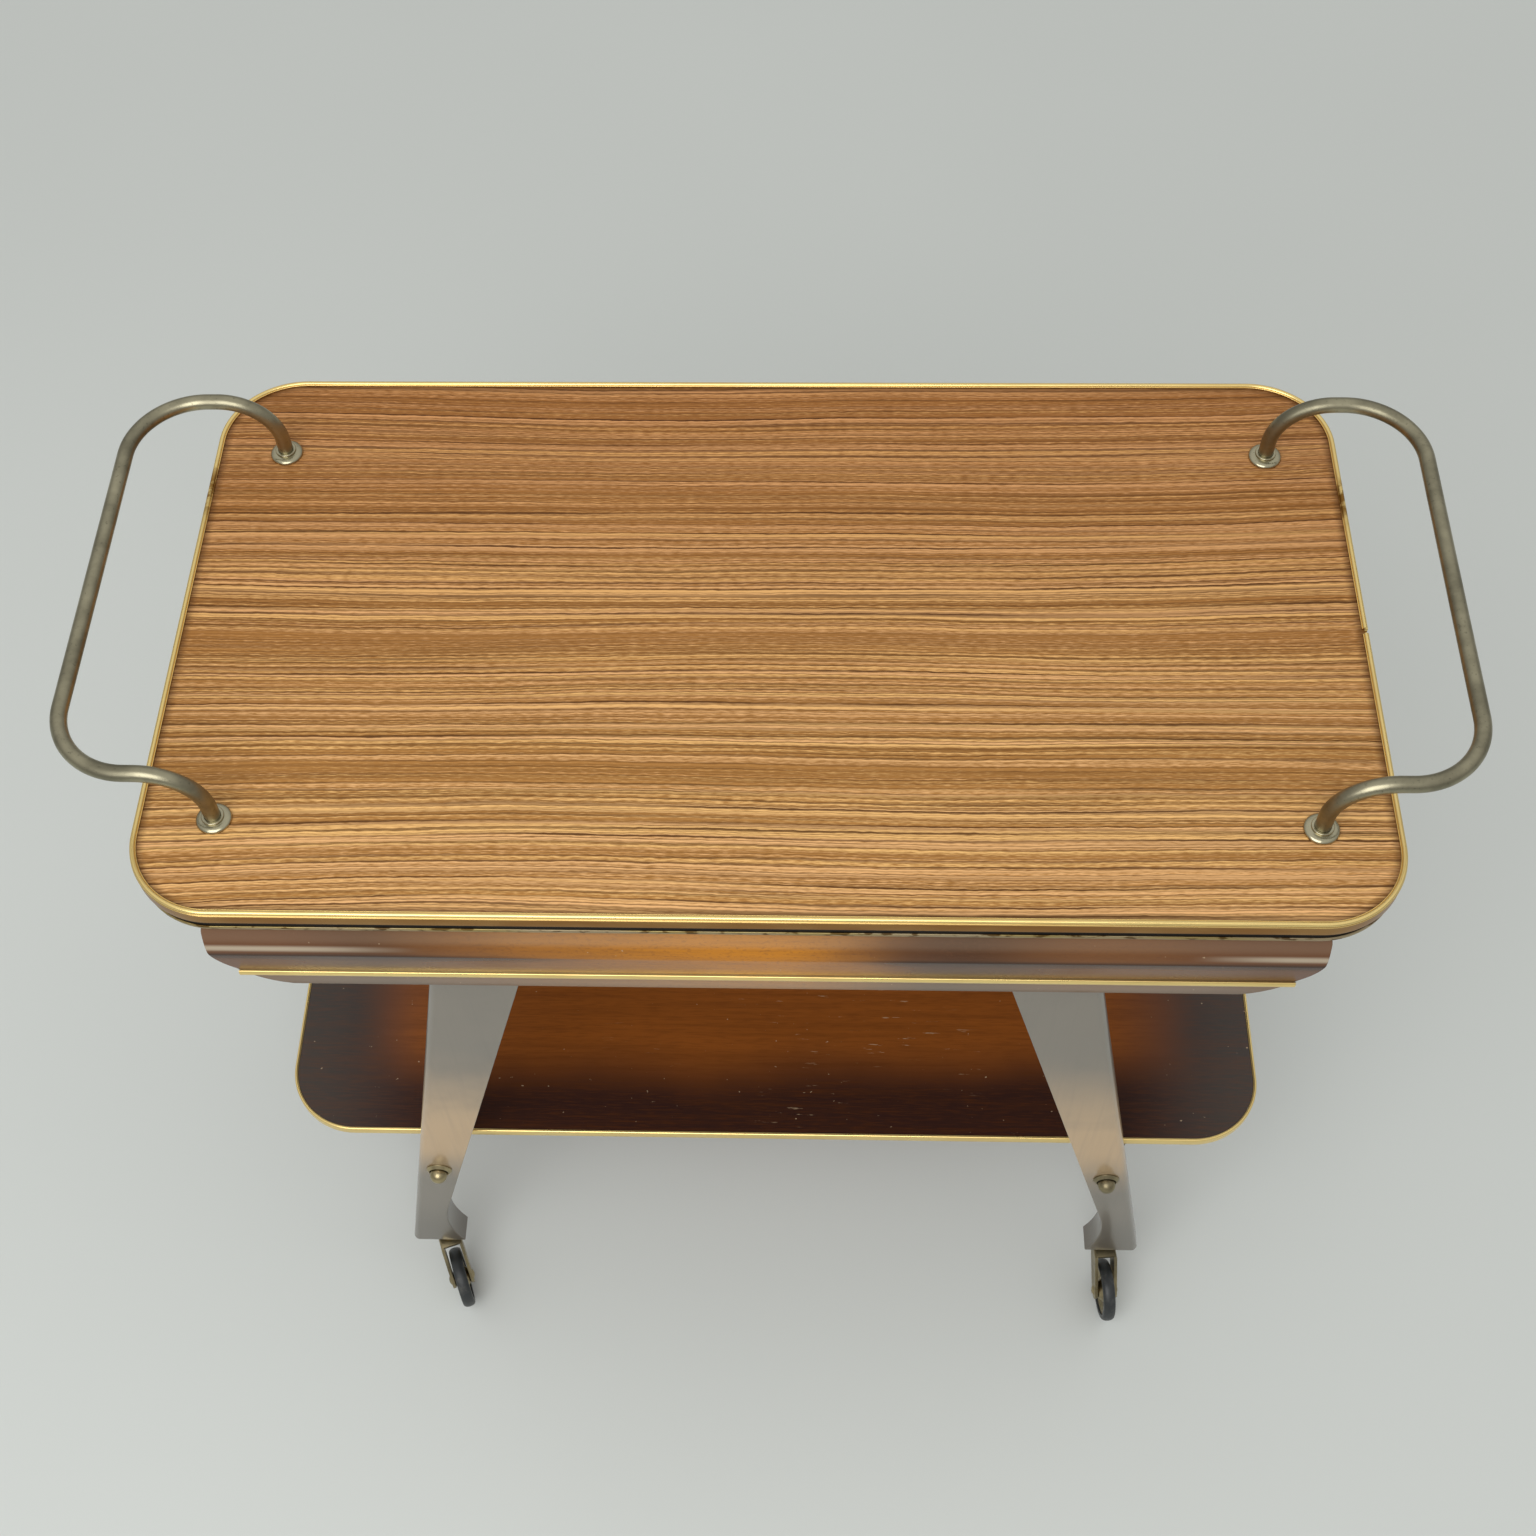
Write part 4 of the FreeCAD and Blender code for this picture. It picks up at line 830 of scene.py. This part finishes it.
class BARCART_OT_handles(bpy.types.Operator):
    """Make the bent handles and their rosettes"""
    bl_idname = "barcart.handles"
    bl_label = "Handles"

    def execute(self, context):
        sizes = context.scene.barcart_handles
        colours = context.scene.barcart_colours
        finish = brass_finish("handle_brass", colours.handle, tint(colours.handle, 0.58), 0.30)
        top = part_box("top_laminate")[1][2]
        low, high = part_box("right_handle")
        foot_x = high[0] - sizes.rod - sizes.grip_bend - sizes.arm - sizes.riser_bend
        foot_y = high[1] - sizes.rod
        rod = rod_along(*self.bent_path(sizes, foot_x, -foot_y, top), sizes.rod)
        tip = arc(sizes.stud - sizes.ease, low[2] + sizes.ease, sizes.ease, sizes.ease, -90, 0, 5)
        stud = chain([0, low[2]], tip, [sizes.stud, top], [0, top])
        studs = [turned(stud, (foot_x, sign * foot_y, 0.0), UP, count=32) for sign in ENDS.values()]
        for side, sign in SIDES.items():
            surfaces = [mirrored(surface, sign, 1) for surface in (rod, *studs)]
            add_piece(side + "_handle_rod", surfaces, finish, "frame", "handle_brass", side + "_handle")
        bright = tint(colours.handle, 1.25)
        polished = brass_finish("rosette_brass", bright, colours.handle, 0.7, rough=0.27)
        for corner in CORNERS:
            node = corner + "_handle_rosette"
            ring = self.rosette(sizes, *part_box(node))
            add_piece(node + "_turned", [ring], polished, "frame", "brass", node)
        return {"FINISHED"}

    def bent_path(self, sizes, x, y, z):
        """Right-hand rod from its front foot: up, a quarter circle outwards, along the arm, a quarter
        circle along the end, then the same mirrored. Side and lift are square to the rod: across the riser
        side points back, then side is level and lift upright."""
        riser_rows, grip_rows = 30, 36
        bend = sizes.riser_bend
        grip = sizes.grip_bend
        lean = np.radians(np.concatenate([[180], np.linspace(180, 90, riser_rows)]))
        turn = np.radians(np.linspace(-90, 0, grip_rows))
        rise = np.stack([x + bend + bend * np.cos(lean), np.full_like(lean, y),
                         z + sizes.riser + bend * np.sin(lean)], axis=1)
        rise[0, 2] = z
        level = np.full_like(turn, z + sizes.riser + bend)
        end_x = x + bend + sizes.arm
        around = np.stack([end_x + grip * np.cos(turn), y + grip + grip * np.sin(turn), level], axis=1)
        rise_side = np.tile(BACK, (len(lean), 1))
        rise_lift = np.stack([np.cos(lean), np.zeros_like(lean), np.sin(lean)], axis=1)
        around_side = np.stack([-np.cos(turn), -np.sin(turn), np.zeros_like(turn)], axis=1)
        around_lift = np.tile(UP, (len(turn), 1))
        half = [chain(rise, around), chain(rise_side, around_side), chain(rise_lift, around_lift)]
        flip = np.array([1.0, -1.0, 1.0])
        return [np.concatenate([own, (own * flip)[::-1]]) for own in half]

    def rosette(self, sizes, low, high):
        """A ring turned about the rod: an upright rim, a dome that is part of an ellipse and a short
        collar."""
        outer = (high[0] - low[0]) / 2
        height = high[2] - low[2]
        ease = sizes.ease
        foot = sizes.foot_ease
        dome = arc(sizes.collar, sizes.rim, outer - sizes.collar, sizes.dome - sizes.rim, 0, 84, 14)
        collar = arc(sizes.collar - ease, height - ease, ease, ease, 0, 90, 6)
        profile = chain([sizes.bore, 0], [outer - foot, 0], [outer, foot], dome,
                        [sizes.collar, sizes.dome + foot / 2], collar, [sizes.bore, height])
        return turned(profile, ((low[0] + high[0]) / 2, (low[1] + high[1]) / 2, low[2]), UP, ring=True)


class BARCART_OT_aprons(bpy.types.Operator):
    """Make the shaped aprons"""
    bl_idname = "barcart.aprons"
    bl_label = "Aprons"

    def execute(self, context):
        sizes = context.scene.barcart_aprons
        low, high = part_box("rear_apron_strip")
        base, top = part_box("rear_apron")
        crest = base[2] + sizes.crest
        strip = (low[2] + high[2]) / 2
        lacquer = apron_finish(context.scene.barcart_colours, crest, strip, top[2])
        board = self.apron(sizes, base, top)
        for end, sign in ENDS.items():
            node = end + "_apron"
            add_piece(node + "_board", [mirrored(board, 1, sign)], lacquer, "frame", "apron_lacquer", node)
        return {"FINISHED"}

    def apron(self, sizes, low, high):
        """Level slices of the board. The front is flat, then slopes out to the nose's crest and is a large
        circle up from it; the half length is cut by a large circle at the lower ends and a small one at the
        upper ends."""
        flat_rows, slope_rows, crown_rows, end_rows = 12, 17, 20, 12
        end_start = 0.1
        face = low[1] + sizes.board
        base = low[2]
        top = high[2]
        half = high[0]
        crest = base + sizes.crest
        edge, ease = foot_ease(base, sizes.arris)
        flat = np.linspace(edge[-1], base + sizes.band, flat_rows)[1:]
        slope = np.linspace(base + sizes.band, crest, slope_rows)[1:]
        turn = np.linspace(end_start, np.pi / 2, end_rows)
        crown = np.concatenate([np.linspace(crest, top - sizes.top_radius, crown_rows)[1:],
                                top - sizes.top_radius * (1 - np.sin(turn))])
        rise = sizes.nose_radius - np.sqrt(sizes.nose_radius ** 2 - (crown - crest) ** 2)
        z = np.concatenate([edge, flat, slope, crown])
        leaning = face + sizes.nose * np.linspace(0, 1, slope_rows)[1:]
        front = np.concatenate([face - ease, np.full_like(flat, face), leaning, face + sizes.nose - rise])
        swept = np.clip(base + sizes.end_radius - z, 0, sizes.end_radius)
        upper = np.clip(z - (top - sizes.top_radius), 0, sizes.top_radius)
        reach = half - sizes.end_radius + np.sqrt(sizes.end_radius ** 2 - swept ** 2)
        reach = reach - sizes.top_radius + np.sqrt(sizes.top_radius ** 2 - upper ** 2)
        return stacked(-reach, reach, np.full_like(z, low[1]), front, z, [sizes.arris] * 4)


class BARCART_OT_legs(bpy.types.Operator):
    """Make the tapered legs"""
    bl_idname = "barcart.legs"
    bl_label = "Legs"

    def execute(self, context):
        finish = leg_finish(context.scene.barcart_colours)
        board = self.leg(context.scene.barcart_legs, *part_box("rear_right_leg"))
        for corner, (sx, sy) in CORNERS.items():
            node = corner + "_leg"
            add_piece(node + "_board", [mirrored(board, sx, sy)], finish, "frame", "leg_lacquer", node)
        return {"FINISHED"}

    def leg(self, sizes, low, high):
        """Level slices of the right-hand rear leg. Both edges lean; below the ankle the inner edge is a
        circle that leaves it smoothly and ends at the toe. The foot's edge is eased by a quarter circle."""
        scoop_rows, shin_rows = 41, 36
        base = low[2]
        foot_x = high[0]
        ankle_z = base + sizes.ankle_rise
        ankle_x = foot_x - sizes.ankle_rise * math.tan(sizes.outer_splay) - sizes.ankle
        normal = np.array([-math.cos(sizes.inner_splay), -math.sin(sizes.inner_splay)])
        step = np.array([foot_x - sizes.foot - ankle_x, base - ankle_z])
        radius = step.dot(step) / (2 * step.dot(normal))
        scoop_x, scoop_z = np.array([ankle_x, ankle_z]) + radius * normal
        edge, ease = foot_ease(base, sizes.arris)
        z = np.concatenate([edge, np.linspace(edge[-1], ankle_z, scoop_rows)[1:],
                            np.linspace(ankle_z, high[2], shin_rows)[1:]])
        outer = foot_x - (z - base) * math.tan(sizes.outer_splay)
        straight = ankle_x - (z - ankle_z) * math.tan(sizes.inner_splay)
        scoop = scoop_x + np.sqrt(np.clip(radius ** 2 - (z - scoop_z) ** 2, 0, None))
        inner = np.where(z >= ankle_z, straight, scoop)
        inset = np.interp(z, edge, ease)
        radii = [sizes.outer_round, sizes.arris, sizes.arris, sizes.outer_round]
        return stacked(inner + inset, outer - inset, low[1] + inset, high[1] - inset, z, radii)


class BARCART_OT_shelf(bpy.types.Operator):
    """Finish the lower shelf"""
    bl_idname = "barcart.shelf"
    bl_label = "Shelf"

    def execute(self, context):
        refinish(shelf_finish(context.scene.barcart_colours), "lower_shelf")
        return {"FINISHED"}


class BARCART_OT_bolts(bpy.types.Operator):
    """Make the ball bolts and their dished washers"""
    bl_idname = "barcart.bolts"
    bl_label = "Bolts"

    def execute(self, context):
        sizes = context.scene.barcart_fittings
        colours = context.scene.barcart_colours
        finish = brass_finish("bolt_brass", colours.brass, colours.patina, 0.8)
        low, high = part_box("leg_bolt_washers")
        rim = (high[2] - low[2]) / 2
        inner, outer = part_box("rear_right_leg")
        centre = np.array([high[0] - rim, outer[1], (low[2] + high[2]) / 2])
        middle = sizes.floor + math.sqrt(sizes.ball ** 2 - sizes.seat ** 2)
        tip = inner[1] - outer[1] - sizes.reach
        pieces = {"leg_bolts": self.bolt(sizes, centre, middle, tip),
                  "leg_bolt_washers": self.washer(sizes, centre, rim)}
        for node, surface in pieces.items():
            copies = [mirrored(surface, *place) for place in CORNERS.values()]
            add_piece(node + "_turned", copies, finish, "frame", "brass", node)
        return {"FINISHED"}

    def bolt(self, sizes, centre, middle, tip):
        """A ball with a flat where it sits on its washer, and its shank, turned about the bolt's axis."""
        start = -math.degrees(math.asin((middle - sizes.floor) / sizes.ball))
        ball = arc(0, middle, sizes.ball, sizes.ball, start, 90, 30)
        profile = chain([0, tip], [sizes.shank - sizes.ease, tip], [sizes.shank, tip + sizes.ease],
                        [sizes.shank, sizes.floor], ball)
        return turned(profile, centre, BACK, count=48)

    def washer(self, sizes, centre, rim):
        """A dish turned about the bolt's axis: a rim on the leg, a cone to the crest and down to the
        floor."""
        ease = 0.7 * sizes.ease
        crest = sizes.floor + sizes.dish
        peak = sizes.ball + sizes.lip
        bore = sizes.shank + sizes.fit
        edge = arc(rim - ease, sizes.floor - ease, ease, ease, 0, 60, 5)
        top = arc(peak + ease, crest - ease, ease, ease, 40, 170, 7)
        profile = chain([bore, 0], [rim - ease / 2, 0], edge, top, [sizes.seat + sizes.lip, sizes.floor],
                        [bore, sizes.floor])
        return turned(profile, centre, BACK, count=64, ring=True)


class BARCART_OT_casters(bpy.types.Operator):
    """Make the wheels and finish the forks"""
    bl_idname = "barcart.casters"
    bl_label = "Casters"

    def execute(self, context):
        sizes = context.scene.barcart_fittings
        colours = context.scene.barcart_colours
        brass = brass_finish("caster_brass", colours.brass, colours.patina, 0.6)
        rubber = rubber_finish(colours)
        for corner in CORNERS:
            joint = JOINTS[corner + "_wheel_spin"]
            centre = joint["pos_m"]
            axis = joint["axis"]
            hub_radius = centre[2] - sizes.tyre
            hub = turned(self.hub(sizes, hub_radius), centre, axis, count=80, ring=True)
            tyre = turned(self.tyre(sizes, centre[2], hub_radius), centre, axis, count=96, ring=True)
            wheel = corner + "_wheel"
            caster = corner + "_caster"
            add_piece(caster + "_hub_turned", [hub], brass, wheel, "brass", caster + "_hub")
            add_piece(caster + "_tyre_turned", [tyre], rubber, wheel, "rubber", caster + "_tyre")
            refinish(brass, caster + "_fork", caster + "_axle")
        return {"FINISHED"}

    def hub(self, sizes, radius):
        """Half of a disc's profile and its mirror image: boss, sloping shoulder, thin web, sloping rim."""
        web = sizes.web / 2
        rim = radius - sizes.hub_rim
        ease = sizes.ease
        fillet = sizes.fillet
        wide = 1.75 * fillet
        half = chain(
            [sizes.axle, sizes.boss_face],
            arc(sizes.boss - ease, sizes.boss_face - ease, ease, ease, 90, 30, 4),
            arc(sizes.boss + sizes.boss_face - web + fillet, web + fillet, wide, fillet, -150, -90, 5),
            arc(rim - sizes.rim_face + web - fillet, web + fillet, wide, fillet, -90, -30, 5),
            arc(rim + ease, sizes.rim_face - ease, ease, ease, 130, 90, 4),
            [radius, sizes.rim_face],
        )
        return chain(half, (half * np.array([1.0, -1.0]))[::-1])

    def tyre(self, sizes, radius, inner_radius):
        """A ring: flat sides with eased corners and a tread that is half an ellipse."""
        half = sizes.tyre_half
        ease = sizes.ease
        inner = inner_radius + sizes.tyre_fit
        tread = arc(radius - sizes.tread, 0, sizes.tread, half, 90, -90, 33)
        side = arc(inner + ease, half - ease, ease, ease, 180, 90, 5)
        return chain(side, tread, (side * np.array([1.0, -1.0]))[::-1])


class BARCART_OT_hardware(bpy.types.Operator):
    """Finish the screws, nuts, sockets and grip rings"""
    bl_idname = "barcart.hardware"
    bl_label = "Hardware"

    def execute(self, context):
        inner = ("_caster_socket", "_caster_grip_ring")
        sockets = [corner + piece for corner in CORNERS for piece in inner]
        steel = steel_finish(context.scene.barcart_colours)
        refinish(steel, "handle_washers", "handle_nuts", "leg_screws", "apron_screws", "top_bearer_screws",
                 "shelf_bearer_screws", *sockets)
        return {"FINISHED"}


# Stage: places are in metres, angles in radians and the lamp's power in watts

FLOOR_REACH = 8.0
SKY_LOW = (0.32, 0.32, 0.315)
SKY_HIGH = (0.76, 0.76, 0.745)
LAMP_PLACE = Vector((-0.4, -1.25, 1.75))
LAMP_TARGET = Vector((0.0, -0.1, 0.5))
LAMP_WIDTH = 1.4
LAMP_POWER = 17.0
CAMERA_PLACE = (0.029756, -0.758142, 1.649438)
CAMERA_PITCH, CAMERA_YAW, CAMERA_ROLL = 0.99369, 0.05711, -0.03948
CAMERA_SENSOR, CAMERA_LENS = 36.0, 46.875
CAMERA_SHIFT = (0.01063, -0.00249)


class BARCART_OT_stage(bpy.types.Operator):
    """Make the floor, the light and the camera"""
    bl_idname = "barcart.stage"
    bl_label = "Stage"

    def execute(self, context):
        scene = context.scene
        scene.view_settings.view_transform = "Standard"
        self.floor(scene)
        self.sky(scene)
        self.lamp(scene)
        self.camera(scene)
        return {"FINISHED"}

    def floor(self, scene):
        """A wide level sheet: its points are a grid of x and y at height 0."""
        reach = np.array([-FLOOR_REACH, FLOOR_REACH])
        x, y = np.meshgrid(reach, reach, indexing="ij")
        points = np.stack([x.ravel(), y.ravel(), np.zeros(x.size)], axis=1)
        mesh = bpy.data.meshes.new("studio_floor")
        mesh.from_pydata(points.tolist(), [], quads(2, 2)[:, ::-1].tolist())
        f = Finish("studio_floor", roughness=0.75)
        grey = scene.barcart_colours.floor
        f.set("Base Color", f.mix(f.fade(f.noise((1.3, 1.3, 1.0)), 0.2, 0.8), tint(grey, 0.97), grey))
        mesh.materials.append(f.material)
        floor = bpy.data.objects.new("studio_floor", mesh)
        scene.collection.objects.link(floor)

    def sky(self, scene):
        """Even light from all round that grows brighter overhead, so that polished metal shows soft
        gradients."""
        world = bpy.data.worlds.new("studio")
        scene.world = world
        world.use_nodes = True
        n = Nodes(world.node_tree)
        way = n.nodes.new("ShaderNodeTexCoord").outputs["Generated"]
        tone = n.mix(n.fade(n.axes(way)[2], 0.0, 0.9), SKY_LOW, SKY_HIGH)
        n.put(n.nodes["Background"].inputs["Color"], tone)

    def lamp(self, scene):
        """A wide soft lamp over the front, turned to the cart."""
        light = bpy.data.lights.new("key_lamp", "AREA")
        light.size = LAMP_WIDTH
        light.energy = LAMP_POWER
        lamp = bpy.data.objects.new("key_lamp", light)
        turn = (LAMP_TARGET - LAMP_PLACE).to_track_quat("-Z", "Y").to_matrix().to_4x4()
        lamp.matrix_world = Matrix.Translation(LAMP_PLACE) @ turn
        scene.collection.objects.link(lamp)

    def camera(self, scene):
        """Stands where the photograph was taken, looking down at the top."""
        view = bpy.data.cameras.new("camera")
        view.sensor_width = CAMERA_SENSOR
        view.lens = CAMERA_LENS
        view.shift_x, view.shift_y = CAMERA_SHIFT
        camera = bpy.data.objects.new("camera", view)
        heading = Matrix.Rotation(CAMERA_YAW, 4, "Z")
        tilt = Matrix.Rotation(math.pi / 2 - CAMERA_PITCH, 4, "X")
        roll = Matrix.Rotation(CAMERA_ROLL, 4, "Z")
        camera.matrix_world = Matrix.Translation(CAMERA_PLACE) @ (heading @ tilt @ roll)
        scene.collection.objects.link(camera)
        scene.camera = camera


STEPS = [BARCART_OT_top, BARCART_OT_trims, BARCART_OT_handles, BARCART_OT_aprons, BARCART_OT_legs,
         BARCART_OT_shelf, BARCART_OT_bolts, BARCART_OT_casters, BARCART_OT_hardware, BARCART_OT_stage]
GROUPS = {"edging": EdgingSizes, "handles": HandleSizes, "aprons": ApronSizes, "legs": LegSizes,
          "fittings": FittingSizes, "colours": CartColours}


class BARCART_PT_panel(bpy.types.Panel):
    """Lists the cart's pieces, sizes and colours"""
    bl_idname = "BARCART_PT_panel"
    bl_label = "Bar cart"
    bl_space_type = "VIEW_3D"
    bl_region_type = "UI"
    bl_category = "Bar cart"

    def draw(self, context):
        """A button for each step, then a box for each property group."""
        for step in STEPS:
            self.layout.operator(step.bl_idname)
        for name, group in GROUPS.items():
            box = self.layout.box()
            box.label(text=name.title())
            for size in group.__annotations__:
                box.prop(getattr(context.scene, "barcart_" + name), size)


CLASSES = [*GROUPS.values(), *STEPS, BARCART_PT_panel]


def register():
    """Registers the classes and gives the scene its property groups."""
    for own in CLASSES:
        bpy.utils.register_class(own)
    for name, group in GROUPS.items():
        setattr(bpy.types.Scene, "barcart_" + name, PointerProperty(type=group))


def unregister():
    """Takes back what register did, in the other order."""
    for name in GROUPS:
        delattr(bpy.types.Scene, "barcart_" + name)
    for own in reversed(CLASSES):
        bpy.utils.unregister_class(own)


def main():
    """Registers the add-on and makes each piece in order."""
    register()
    bpy.ops.barcart.top()
    bpy.ops.barcart.trims()
    bpy.ops.barcart.handles()
    bpy.ops.barcart.aprons()
    bpy.ops.barcart.legs()
    bpy.ops.barcart.shelf()
    bpy.ops.barcart.bolts()
    bpy.ops.barcart.casters()
    bpy.ops.barcart.hardware()
    bpy.ops.barcart.stage()


if __name__ == "__main__":
    main()
